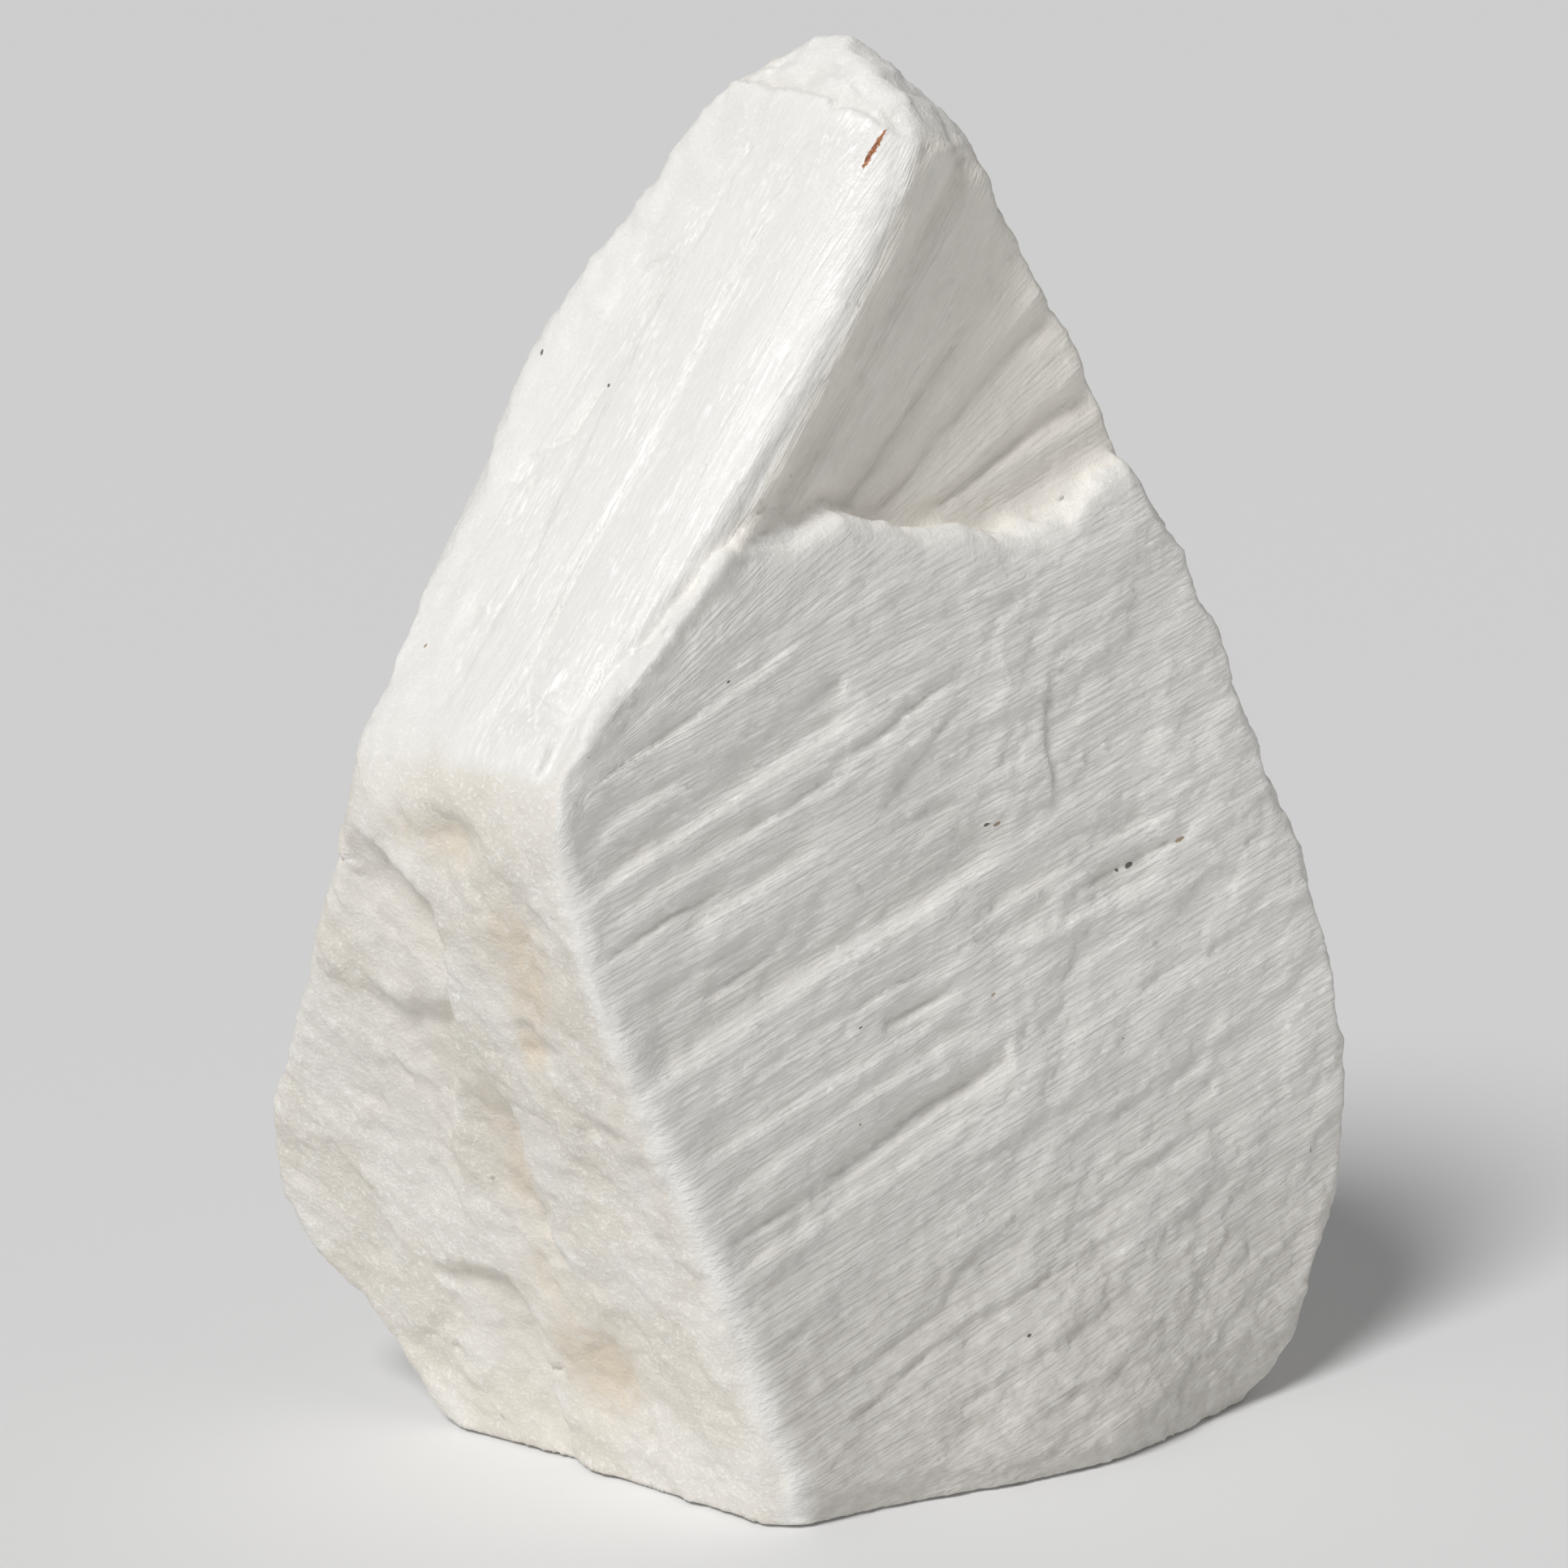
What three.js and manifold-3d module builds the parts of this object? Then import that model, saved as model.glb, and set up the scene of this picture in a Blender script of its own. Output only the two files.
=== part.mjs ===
// Raw scolecite: one hand-sized stone of silky white fibres, broken on every side.
// Millimetres, +Z up, +Y away from the front. The outside is written as a field that
// is negative inside the stone; the faces are joined by rounded edges and meshed once.

import * as THREE from "three";
import { mergeVertices } from "three/addons/utils/BufferGeometryUtils.js";
import Module from "manifold-3d";

const MESH_PITCH = 1.25;
const TRIANGLES = 9300;
const BASE_DEPTH = 3;
const SHEET_TURN = 38;
const SHEET_FRONT = -16.6;
const SHEET_LEAN = 0.105;
const EDGE_ROUND = 1.3;
const CREST_ROUND = 4.5;
const RIM_ROUND = 2.2;
const BACK_ROUND = 5;

const COS_TURN = Math.cos(THREE.MathUtils.degToRad(SHEET_TURN));
const SIN_TURN = Math.sin(THREE.MathUtils.degToRad(SHEET_TURN));

// The four upright rims, each as [height, x, y].
const LEFT_RIM = [
  [-6, -20, -4], [0, -25.4, -0.5], [6, -31.6, 1.5], [13, -37.8, 3.2], [20, -39.4, 2.8],
  [31, -36.1, -2], [42, -33.6, -9], [51, -32, -14], [58, -30.5, -13], [67, -27.4, -8],
  [75, -25, -4.5], [81, -23, -1.2], [88, -15, 1.2], [93, -11.9, 2.4], [97, -10.4, 2.4],
  [103, -5.4, 1],
];
const RIGHT_RIM = [
  [-6, 27.5, 0], [0, 32.6, 3.5], [6, 36.4, 8.2], [12, 38.9, 10.2], [22, 40.1, 13],
  [30, 39.1, 12.7], [38, 37, 11.8], [50, 31.8, 9.8], [60, 27.3, 7.7], [66, 24.6, 6.5],
  [71, 21.9, 6.5], [81, 14.9, 5.5], [90, 9.8, 4], [96, 7.2, 3], [103, 4, 2],
];
const BACK_RIGHT_RIM = [
  [-6, 15, 16], [0, 18, 19], [12, 22, 27], [26, 22, 29.5], [42, 19, 27.5],
  [58, 13, 23], [74, 8, 17], [90, 4.5, 9.5], [97, 3, 6], [103, 2, 4],
];
const BACK_LEFT_RIM = [
  [-6, -15, 6], [0, -18, 9], [12, -24, 14.5], [26, -26.5, 16.5], [42, -25, 14],
  [58, -20.5, 12.5], [74, -15.5, 11], [90, -9, 7.5], [97, -6, 5], [103, -3, 3],
];

// Height of the broken top edge of the front sheet, against distance along the sheet.
const SHEET_CREST = [
  [-60, 52.6], [-34, 52.8], [-30, 53.7], [-27, 57], [-21, 61.1], [-15.6, 64.8],
  [-12.7, 66.4], [-8.6, 67.2], [-5.7, 68], [-3, 67.2], [0, 66.6], [7, 65.6], [10, 65.2],
  [13, 66], [16, 67.6], [20.4, 68.6], [40, 70],
];

// Relief of the granular end face: lines across it, and rounded hollows as
// [across, height, half width, half height, depth].
const SCARP_LINE = [
  [0, 13], [18, 12.7], [25, 12.4], [29, 11.6], [33, 10.1], [40, 9.6], [43, 10.5],
  [45, 14.5], [47, 19], [52, 24],
];
const SHELF_LINE = [[8, 34.6], [11, 34.5], [15.7, 34.1], [18.5, 35.1], [21.5, 38.9], [26, 41]];
const VALLEY_LINE = [
  [0, 4.9], [5, 6.8], [8, 6.5], [14, 5.6], [18, 4.6], [21.5, 5.2], [25, 5.8], [29, 7.2],
  [33, 7.6],
];
const HOLLOWS = [
  [8.4, 48.3, 3.6, 2.2, 1.1], [4.3, 47.2, 2.6, 2.4, 0.9], [3.2, 37.8, 2.6, 4.5, 1],
  [3.6, 31.8, 1.6, 1.6, 0.7], [0.6, 9.2, 2.6, 3.4, 1.5], [-3.5, 24, 2.4, 3, 0.5],
  [9.5, 31, 2, 3, -0.5],
];

// Flat faces: a point on the face and the direction it looks.
const END_FACE = plane([-1.3, -22.9, 0], [-0.62, -0.74, -0.25]);
const BRIGHT_FACE = plane([-17, -27.3, 53.7], [-0.53, -0.63, 0.58]);
const CAP_FRONT = plane([4.8, -10.8, 94.6], [-0.31, -0.49, 0.815]);
const CAP_RIGHT = plane([6.3, -10.2, 94], [0.62, -0.09, 0.78]);
const CAP_TOP = plane([0, 0, 100.3], [0.05, 0.1, 1]);

function plane(point, direction) {
  const normal = new THREE.Vector3(...direction).normalize();
  const offset = normal.dot(new THREE.Vector3(...point));
  return (x, y, z) => normal.x * x + normal.y * y + normal.z * z - offset;
}

function step(from, to, value) {
  const t = THREE.MathUtils.clamp((value - from) / (to - from), 0, 1);
  return t * t * (3 - 2 * t);
}

function hill(value, halfWidth) {
  return Math.exp(-((value / halfWidth) ** 2));
}

// Larger of two values with the corner between them rounded over `round`.
function join(a, b, round) {
  const near = Math.max(round - Math.abs(a - b), 0) / round;
  return Math.max(a, b) + near * near * round * 0.25;
}

// Smooth curve through [position, value, ...] rows, held level past both ends.
function along(rows, position, column = 1) {
  const last = rows.length - 1;
  const at = THREE.MathUtils.clamp(position, rows[0][0], rows[last][0]);
  let i = 0;
  while (i < last - 1 && rows[i + 1][0] <= at) i += 1;
  const span = rows[i + 1][0] - rows[i][0];
  const slope = (k) => (rows[k + 1][column] - rows[k][column]) / (rows[k + 1][0] - rows[k][0]);
  const tangent = (k) => {
    if (k === 0) return slope(0);
    if (k === last) return slope(last - 1);
    const before = rows[k][0] - rows[k - 1][0];
    const after = rows[k + 1][0] - rows[k][0];
    return (slope(k - 1) * after + slope(k) * before) / (before + after);
  };
  const t = (at - rows[i][0]) / span;
  const start = (1 + 2 * t) * (1 - t) ** 2 * rows[i][column];
  const end = t * t * (3 - 2 * t) * rows[i + 1][column];
  const leave = t * (1 - t) ** 2 * span * tangent(i);
  const arrive = t * t * (t - 1) * span * tangent(i + 1);
  return start + leave + end + arrive;
}

// Distance outside the upright wall that runs from one rim to the next.
function wall(fromRim, toRim, x, y, z) {
  const startX = along(fromRim, z, 1);
  const startY = along(fromRim, z, 2);
  const runX = along(toRim, z, 1) - startX;
  const runY = along(toRim, z, 2) - startY;
  return (runY * (x - startX) - runX * (y - startY)) / Math.hypot(runX, runY);
}

// Depth broken out of the granular end face.
function endRelief(across, z) {
  const pastScarp = across - along(SCARP_LINE, z);
  const aboveShelf = z - along(SHELF_LINE, across);
  const below = step(1, -1, aboveShelf);
  const pocket = 0.7 + 1.5 * step(0, 9, aboveShelf);
  const lower = 1.9 * Math.exp(Math.min(aboveShelf, 0) / 7) + 0.35;
  const panel = pocket * (1 - below) + lower * below;
  const reach = step(-0.3, 1.6, pastScarp) * Math.exp(-Math.max(pastScarp - 2, 0) / 11);
  let depth = panel * reach * step(16, 24, z) * step(48.5, 43, z);
  const fromValley = across - along(VALLEY_LINE, z);
  const floor = 1 - 0.45 * step(26, 18, z) + 0.45 * step(16, 8, z);
  const fade = step(36, 30, z) * (1 - 0.6 * step(5, 0, z));
  depth += 2.1 * hill(fromValley, fromValley > 0 ? 3.2 : 2.4) * floor * fade;
  for (const [middle, height, halfWidth, halfHeight, deep] of HOLLOWS) {
    depth += deep * hill(across - middle, halfWidth) * hill(z - height, halfHeight);
  }
  return depth;
}

// Broad ribs that follow the fibres across the front sheet.
function sheetRibs(run, z) {
  const across = (z - 0.308 * run) / 1.046;
  const strength = (0.35 + 0.65 * step(8, -18, run)) * step(4, 22, across);
  const wide = 0.22 * Math.cos(1.03 * across + 1.3 * Math.sin(0.23 * across));
  const narrow = 0.14 * Math.cos(1.53 * across + 1 + Math.sin(0.17 * across));
  return strength * (wide + narrow);
}

// Folds of the hollow face, spreading from one point like a fan.
function fanFolds(x, z) {
  const turn = THREE.MathUtils.radToDeg(Math.atan2(z - 49, x + 20.6));
  const reach = step(20, 50, Math.hypot(x + 20.6, z - 49)) * step(60, 52, turn);
  const wide = 0.32 * Math.cos(0.698 * (turn - 41));
  const narrow = 0.2 * Math.cos(1.208 * (turn - 38));
  return reach * (wide + narrow);
}

function frontRight(x, y, z, bow, bright) {
  const run = x * COS_TURN + y * SIN_TURN;
  const inward = y * COS_TURN - x * SIN_TURN;
  const toe = 3.8 * hill(run - 9, 14) * step(20, 0, z);
  const sheet = SHEET_FRONT + SHEET_LEAN * z - toe + step(4, 0, z) ** 2;
  const lower = sheet - inward - sheetRibs(run, z);
  const crest = z - along(SHEET_CREST, run) + 0.35 * Math.max(inward - sheet, 0);
  const slab = join(lower, 0.9 * crest, 1.6);
  if (z <= 45) return slab;
  const pastEdge = Math.max(run + 30.2 - 0.792 * (z - 53.7) - 2.98 * bow, 0);
  const rise = 2 * THREE.MathUtils.clamp((pastEdge - 18) / 18, 0, 1);
  const dish = 5.5 * (1 - Math.exp(-pastEdge / 6)) - rise;
  const hollow = dish - 11.05 - inward - fanFolds(x, z) * step(3, 12, pastEdge);
  return -join(-join(hollow, bright, CREST_ROUND), -slab, 0.6);
}

// Long cleavage face at the back left, with a terrace broken off along the fibres, and
// the granular end of the stone at the back right.
function back(x, y, z) {
  const lump =
    0.8 * Math.sin(0.21 * x + 1.3) * Math.cos(0.16 * z + 0.4) +
    0.45 * Math.sin(0.37 * x - 0.24 * z) +
    0.35 * Math.cos(0.41 * z + 0.2 * y);
  const endLump =
    0.5 * Math.sin(0.3 * z + 0.25 * y) * Math.cos(0.11 * z - 0.4 * y) +
    0.4 * Math.cos(0.21 * z - 0.33 * y);
  const ragged = 1.6 * Math.sin(0.33 * z) + 0.8 * Math.sin(0.9 * z);
  const alongFibre = step(-1, 0.6, z - 52 - 0.395 * x);
  const acrossFibre = step(-9, -6.4, x + 0.5 * (z - 50) + ragged);
  const terrace = 2.4 * alongFibre * acrossFibre;
  const right = wall(RIGHT_RIM, BACK_RIGHT_RIM, x, y, z) + endLump;
  const middle = wall(BACK_RIGHT_RIM, BACK_LEFT_RIM, x, y, z) + terrace - 0.8 * lump;
  const left = wall(BACK_LEFT_RIM, LEFT_RIM, x, y, z) - 0.5 * lump;
  return join(join(right, middle, BACK_ROUND), left, BACK_ROUND);
}

function stoneField(x, y, z) {
  const rise = THREE.MathUtils.clamp((z - 53.7) / 38, 0, 1.15);
  const bow = 4 * rise * (1 - rise);
  const across = 0.643 * y - 0.767 * x;
  const belly = 1.8 * Math.sin(Math.PI * THREE.MathUtils.clamp((z - 8) / 50, 0, 1) ** 1.6);
  const end = END_FACE(x, y, z) - belly + endRelief(across, z);
  const bright = BRIGHT_FACE(x, y, z) + 2.4 * bow;
  const cap = join(join(CAP_FRONT(x, y, z), CAP_RIGHT(x, y, z), 2), CAP_TOP(x, y, z), 2);
  let field = join(end, frontRight(x, y, z, bow, bright), EDGE_ROUND);
  field = join(field, bright, EDGE_ROUND);
  field = join(field, cap, EDGE_ROUND);
  field = join(field, back(x, y, z), RIM_ROUND);
  return Math.max(field, -BASE_DEPTH - z);
}

function gradient(point) {
  const h = 0.05;
  const { x, y, z } = point;
  return new THREE.Vector3(
    stoneField(x + h, y, z) - stoneField(x - h, y, z),
    stoneField(x, y + h, z) - stoneField(x, y - h, z),
    stoneField(x, y, z + h) - stoneField(x, y, z - h),
  ).divideScalar(2 * h);
}

function toSurface(point) {
  for (let pass = 0; pass < 2; pass += 1) {
    const slope = gradient(point);
    const move = stoneField(point.x, point.y, point.z) / Math.max(slope.lengthSq(), 0.2);
    point.addScaledVector(slope, -THREE.MathUtils.clamp(move, -MESH_PITCH, MESH_PITCH));
  }
}

// Fills the grid points where two sheets of the surface would otherwise touch along an edge.
function fillPinches(values, stride) {
  const pairs = [[0, 1], [1, 2], [0, 2]].map(([u, v]) => [stride[u], stride[v]]);
  let filled = true;
  while (filled) {
    filled = false;
    for (const [u, v] of pairs) {
      for (let a = 0; a < values.length - u - v; a += 1) {
        const ring = [a, a + u, a + u + v, a + v];
        const [inA, inB, inC, inD] = ring.map((n) => values[n] < 0);
        if (inA !== inC || inB !== inD || inA === inB) continue;
        const open = inA ? [ring[1], ring[3]] : [ring[0], ring[2]];
        values[values[open[0]] < values[open[1]] ? open[0] : open[1]] = -1e-3;
        filled = true;
      }
    }
  }
}

// One vertex in each grid cell the surface passes through, joined by quads.
function meshField(low, high, pitch) {
  const count = [0, 1, 2].map((k) => Math.ceil((high[k] - low[k]) / pitch) + 1);
  const index = (i, j, k) => (k * count[1] + j) * count[0] + i;
  const values = new Float64Array(count[0] * count[1] * count[2]);
  for (let k = 0; k < count[2]; k += 1) {
    for (let j = 0; j < count[1]; j += 1) {
      for (let i = 0; i < count[0]; i += 1) {
        const [x, y, z] = [low[0] + i * pitch, low[1] + j * pitch, low[2] + k * pitch];
        values[index(i, j, k)] = stoneField(x, y, z);
      }
    }
  }
  const stride = [1, count[0], count[0] * count[1]];
  fillPinches(values, stride);
  const corners = [0, 1, 2, 3, 4, 5, 6, 7].map((n) => [n & 1, (n >> 1) & 1, n >> 2]);
  const vertexOf = new Map();
  const points = [];
  for (let k = 0; k < count[2] - 1; k += 1) {
    for (let j = 0; j < count[1] - 1; j += 1) {
      for (let i = 0; i < count[0] - 1; i += 1) {
        const sum = new THREE.Vector3();
        let crossings = 0;
        for (let a = 0; a < 8; a += 1) {
          for (let axis = 0; axis < 3; axis += 1) {
            const b = a | (1 << axis);
            if (b === a) continue;
            const va = values[index(i + corners[a][0], j + corners[a][1], k + corners[a][2])];
            const vb = values[index(i + corners[b][0], j + corners[b][1], k + corners[b][2])];
            if (va < 0 === vb < 0) continue;
            const cut = new THREE.Vector3(...corners[a]);
            cut.setComponent(axis, va / (va - vb));
            sum.add(cut);
            crossings += 1;
          }
        }
        if (crossings === 0) continue;
        sum.divideScalar(crossings).add(new THREE.Vector3(i, j, k)).multiplyScalar(pitch);
        vertexOf.set(index(i, j, k), points.length);
        points.push(sum.add(new THREE.Vector3(...low)));
      }
    }
  }
  const quads = [];
  for (let k = 1; k < count[2] - 1; k += 1) {
    for (let j = 1; j < count[1] - 1; j += 1) {
      for (let i = 1; i < count[0] - 1; i += 1) {
        const here = index(i, j, k);
        for (let axis = 0; axis < 3; axis += 1) {
          const inside = values[here] < 0;
          if (inside === values[here + stride[axis]] < 0) continue;
          const [u, v] = [stride[(axis + 1) % 3], stride[(axis + 2) % 3]];
          const quad = [here, here - u, here - u - v, here - v].map((cell) => vertexOf.get(cell));
          quads.push(inside ? quad : quad.reverse());
        }
      }
    }
  }
  return { points, quads };
}

// Evens out the mesh along the surface and puts each vertex back on it.
function relax(points, quads, passes) {
  for (let pass = 0; pass < passes; pass += 1) {
    const sums = points.map(() => new THREE.Vector3());
    const counts = new Float64Array(points.length);
    for (const quad of quads) {
      for (let n = 0; n < 4; n += 1) {
        sums[quad[n]].add(points[quad[(n + 1) % 4]]);
        counts[quad[n]] += 1;
      }
    }
    points.forEach((point, n) => {
      point.lerp(sums[n].divideScalar(counts[n]), 0.5);
      toSurface(point);
    });
  }
}

function solidOf(wasm, geometry) {
  const numbers = Float32Array.from(geometry.getAttribute("position").array);
  const faces = Uint32Array.from(geometry.getIndex().array);
  return new wasm.Manifold(new wasm.Mesh({ numProp: 3, vertProperties: numbers, triVerts: faces }));
}

// Squared distance to the planes met at a vertex, as the ten numbers of a symmetric matrix.
function planeQuadric(a, b, c) {
  const cross = new THREE.Vector3().subVectors(b, a).cross(new THREE.Vector3().subVectors(c, a));
  const area = cross.length();
  if (area < 1e-9) return new Array(10).fill(0);
  const { x, y, z } = cross.divideScalar(area);
  const w = -(x * a.x + y * a.y + z * a.z);
  return [x * x, x * y, x * z, x * w, y * y, y * z, y * w, z * z, z * w, w * w].map((n) => n * area);
}

function quadricCost(q, { x, y, z }) {
  const square = q[0] * x * x + q[4] * y * y + q[7] * z * z;
  const mixed = q[1] * x * y + q[2] * x * z + q[5] * y * z + q[3] * x + q[6] * y + q[8] * z;
  return square + 2 * mixed + q[9];
}

// Where two merged vertices fit their planes best, held gently to the middle of the edge.
function bestPoint(q, a, b) {
  const middle = new THREE.Vector3().addVectors(a, b).multiplyScalar(0.5);
  const hold = 0.002 * (q[0] + q[4] + q[7]) + 1e-9;
  const matrix = new THREE.Matrix3().set(
    q[0] + hold, q[1], q[2],
    q[1], q[4] + hold, q[5],
    q[2], q[5], q[7] + hold,
  );
  const target = middle.clone().multiplyScalar(hold).sub(new THREE.Vector3(q[3], q[6], q[8]));
  const point = target.applyMatrix3(matrix.invert());
  return point.distanceTo(middle) > a.distanceTo(b) ? middle : point;
}

// Smallest-first queue of candidate merges.
function makeQueue() {
  const heap = [];
  const swap = (i, j) => ([heap[i], heap[j]] = [heap[j], heap[i]]);
  const push = (item) => {
    let n = heap.push(item) - 1;
    while (n > 0 && heap[(n - 1) >> 1].cost > heap[n].cost) {
      swap(n, (n - 1) >> 1);
      n = (n - 1) >> 1;
    }
  };
  const pop = () => {
    swap(0, heap.length - 1);
    const item = heap.pop();
    let n = 0;
    while (2 * n + 1 < heap.length) {
      let child = 2 * n + 1;
      if (child + 1 < heap.length && heap[child + 1].cost < heap[child].cost) child += 1;
      if (heap[n].cost <= heap[child].cost) break;
      swap(n, child);
      n = child;
    }
    return item;
  };
  return { push, pop, heap };
}

// Merges vertices where the surface is flattest until `target` triangles are left.
function simplify(points, triangles, target) {
  const quadrics = points.map(() => new Float64Array(10));
  const around = points.map(() => new Set());
  triangles.forEach((corners, face) => {
    const quadric = planeQuadric(...corners.map((n) => points[n]));
    for (const n of corners) {
      around[n].add(face);
      quadric.forEach((value, k) => (quadrics[n][k] += value));
    }
  });
  const version = new Uint32Array(points.length);
  const queue = makeQueue();
  const neighbours = (n) => {
    const corners = [...around[n]].flatMap((face) => triangles[face]);
    return new Set(corners.filter((m) => m !== n));
  };
  const offer = (a, b) => {
    const sum = quadrics[a].map((value, k) => value + quadrics[b][k]);
    const point = bestPoint(sum, points[a], points[b]);
    const reach = 1e-4 * points[a].distanceToSquared(points[b]);
    queue.push({ a, b, point, cost: quadricCost(sum, point) + reach, stamp: version[a] + version[b] });
  };
  const turns = (n, other, point) => {
    for (const face of around[n]) {
      const corners = triangles[face];
      if (corners.includes(other)) continue;
      const before = corners.map((m) => points[m]);
      const after = corners.map((m) => (m === n ? point : points[m]));
      const wasFacing = new THREE.Triangle(...before).getNormal(new THREE.Vector3());
      const nowFacing = new THREE.Triangle(...after).getNormal(new THREE.Vector3());
      if (wasFacing.dot(nowFacing) < 0.35) return true;
    }
    return false;
  };
  points.forEach((_, a) => neighbours(a).forEach((b) => a < b && offer(a, b)));
  let left = triangles.length;
  while (left > target && queue.heap.length > 0) {
    const { a, b, point, stamp } = queue.pop();
    if (stamp !== version[a] + version[b] || !around[a].size || !around[b].size) continue;
    const nearB = neighbours(b);
    const shared = [...neighbours(a)].filter((n) => nearB.has(n));
    if (shared.length !== 2 || turns(a, b, point) || turns(b, a, point)) continue;
    for (const face of around[b]) {
      if (triangles[face].includes(a)) {
        triangles[face].forEach((n) => n !== b && around[n].delete(face));
        triangles[face] = null;
        left -= 1;
      } else {
        triangles[face] = triangles[face].map((n) => (n === b ? a : n));
        around[a].add(face);
      }
    }
    around[b].clear();
    points[a] = point;
    quadrics[b].forEach((value, k) => (quadrics[a][k] += value));
    version[a] += 1;
    version[b] += 1;
    neighbours(a).forEach((n) => offer(a, n));
  }
  return triangles.filter(Boolean);
}

function stoneGeometry() {
  const { points, quads } = meshField([-46, -36, -BASE_DEPTH - 3], [48, 38, 106], MESH_PITCH);
  points.forEach(toSurface);
  relax(points, quads, 3);
  const split = quads.flatMap(([a, b, c, d]) =>
    points[a].distanceTo(points[c]) < points[b].distanceTo(points[d])
      ? [[a, b, c], [a, c, d]]
      : [[a, b, d], [b, c, d]],
  );
  const triangles = simplify(points, split, TRIANGLES);
  const used = [...new Set(triangles.flat())];
  const newIndex = new Map(used.map((n, k) => [n, k]));
  const geometry = new THREE.BufferGeometry();
  const numbers = used.flatMap((n) => points[n].toArray());
  geometry.setAttribute("position", new THREE.Float32BufferAttribute(numbers, 3));
  geometry.setIndex(triangles.flat().map((n) => newIndex.get(n)));
  return geometry;
}

// A block reaching from well below the stone up to height zero.
function belowGround() {
  const block = new THREE.BoxGeometry(200, 200, 40).translate(0, 0, -20);
  block.deleteAttribute("uv");
  block.deleteAttribute("normal");
  return mergeVertices(block);
}

const wasm = await Module();
wasm.setup();

const rough = solidOf(wasm, stoneGeometry());
const ground = solidOf(wasm, belowGround());
const standing = rough.subtract(ground).getMesh();

const geometry = new THREE.BufferGeometry();
geometry.setAttribute("position", new THREE.Float32BufferAttribute(standing.vertProperties, 3));
geometry.setIndex(Array.from(standing.triVerts));
geometry.computeBoundingBox();
const centre = geometry.boundingBox.getCenter(new THREE.Vector3());
geometry.translate(-centre.x, -centre.y, 0);
geometry.computeVertexNormals();

const material = new THREE.MeshStandardMaterial({ color: 0xe6e3dd, roughness: 0.55, metalness: 0 });
const scolecite = new THREE.Mesh(geometry, material);
scolecite.name = "scolecite";

const part = new THREE.Group();
part.name = "raw_scolecite";
part.add(scolecite);

export default part;
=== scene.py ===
"""Raw scolecite: one broken stone of silky white fibres, standing on a pale floor.

Shapes are worked out in millimetres in the stone's own axes (+X right, +Y away from the
front, +Z up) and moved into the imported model's frame, in metres, at the end.
"""

import math

import bpy
import numpy as np
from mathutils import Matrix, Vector


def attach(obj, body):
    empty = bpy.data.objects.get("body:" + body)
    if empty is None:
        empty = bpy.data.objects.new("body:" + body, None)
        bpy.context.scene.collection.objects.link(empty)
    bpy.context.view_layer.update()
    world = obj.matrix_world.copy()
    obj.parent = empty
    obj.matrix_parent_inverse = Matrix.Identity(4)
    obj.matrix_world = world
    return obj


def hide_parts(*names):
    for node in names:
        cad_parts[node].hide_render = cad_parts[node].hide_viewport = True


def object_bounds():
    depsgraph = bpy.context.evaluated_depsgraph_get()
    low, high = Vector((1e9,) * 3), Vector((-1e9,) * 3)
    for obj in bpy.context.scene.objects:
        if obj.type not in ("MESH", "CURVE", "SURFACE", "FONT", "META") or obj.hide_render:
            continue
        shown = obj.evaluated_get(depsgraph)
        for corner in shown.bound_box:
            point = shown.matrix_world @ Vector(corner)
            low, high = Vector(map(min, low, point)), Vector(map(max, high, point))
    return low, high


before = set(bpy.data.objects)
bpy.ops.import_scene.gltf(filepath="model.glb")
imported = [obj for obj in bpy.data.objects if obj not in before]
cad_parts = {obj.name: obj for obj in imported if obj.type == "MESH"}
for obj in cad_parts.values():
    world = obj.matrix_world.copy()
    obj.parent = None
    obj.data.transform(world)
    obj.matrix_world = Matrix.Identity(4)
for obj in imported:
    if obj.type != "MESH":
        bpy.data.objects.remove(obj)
cad_low, cad_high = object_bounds()

MM = 0.001
FAR = 1e9
CORNERS = list(np.ndindex(2, 2, 2))
# The grid that the surface is found on, in millimetres.
GRID_PITCH = 0.56
GRID_LOW, GRID_HIGH = (-44, -32, -1.4), (44, 34, 102)
# The field is first sampled in blocks of this many cells a side, then in every cell of the
# blocks whose middle is this many block sides from the surface or nearer.
BLOCK = 4
NEAR_BLOCKS = 1.45
BATCH = 200000
JUST_INSIDE = 1e-3
# How far apart the field is sampled to find its slope.
PROBE = 0.04
SMOOTHINGS = 3
MOST_TRIANGLES = 190000

# --- the stone's large shape ---

# How far the front sheet is turned from the x axis, and the way across the end face, in y
# and x.
TURN = math.radians(38)
COS_TURN, SIN_TURN = math.cos(TURN), math.sin(TURN)
END_ACROSS = (0.643, -0.767)
# Heights: where the end face gives way to the bright side, and where other features begin.
SHOULDER = 53.7
HOLLOW_BOTTOM = 45
END_TOP = 58
CAP_BOTTOM = 80
# Distance above the sheet's broken top edge at which the hollow begins, and the distance
# from the end face within which it has lips.
CREST_EDGE = 0.2
LIPS_REACH = 6
# Radii of the rounded edges between faces.
EDGE_ROUND = 1.1
FRONT_ROUND = 1.3
LOW_ROUND = 1.4
CAP_ROUND = 2.4
SHEET_FILLET = 1.6
END_ROUND = 3.2
CREST_ROUND = 7.0
RIM_ROUND = 2.0
BACK_ROUND = 4.5

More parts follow.
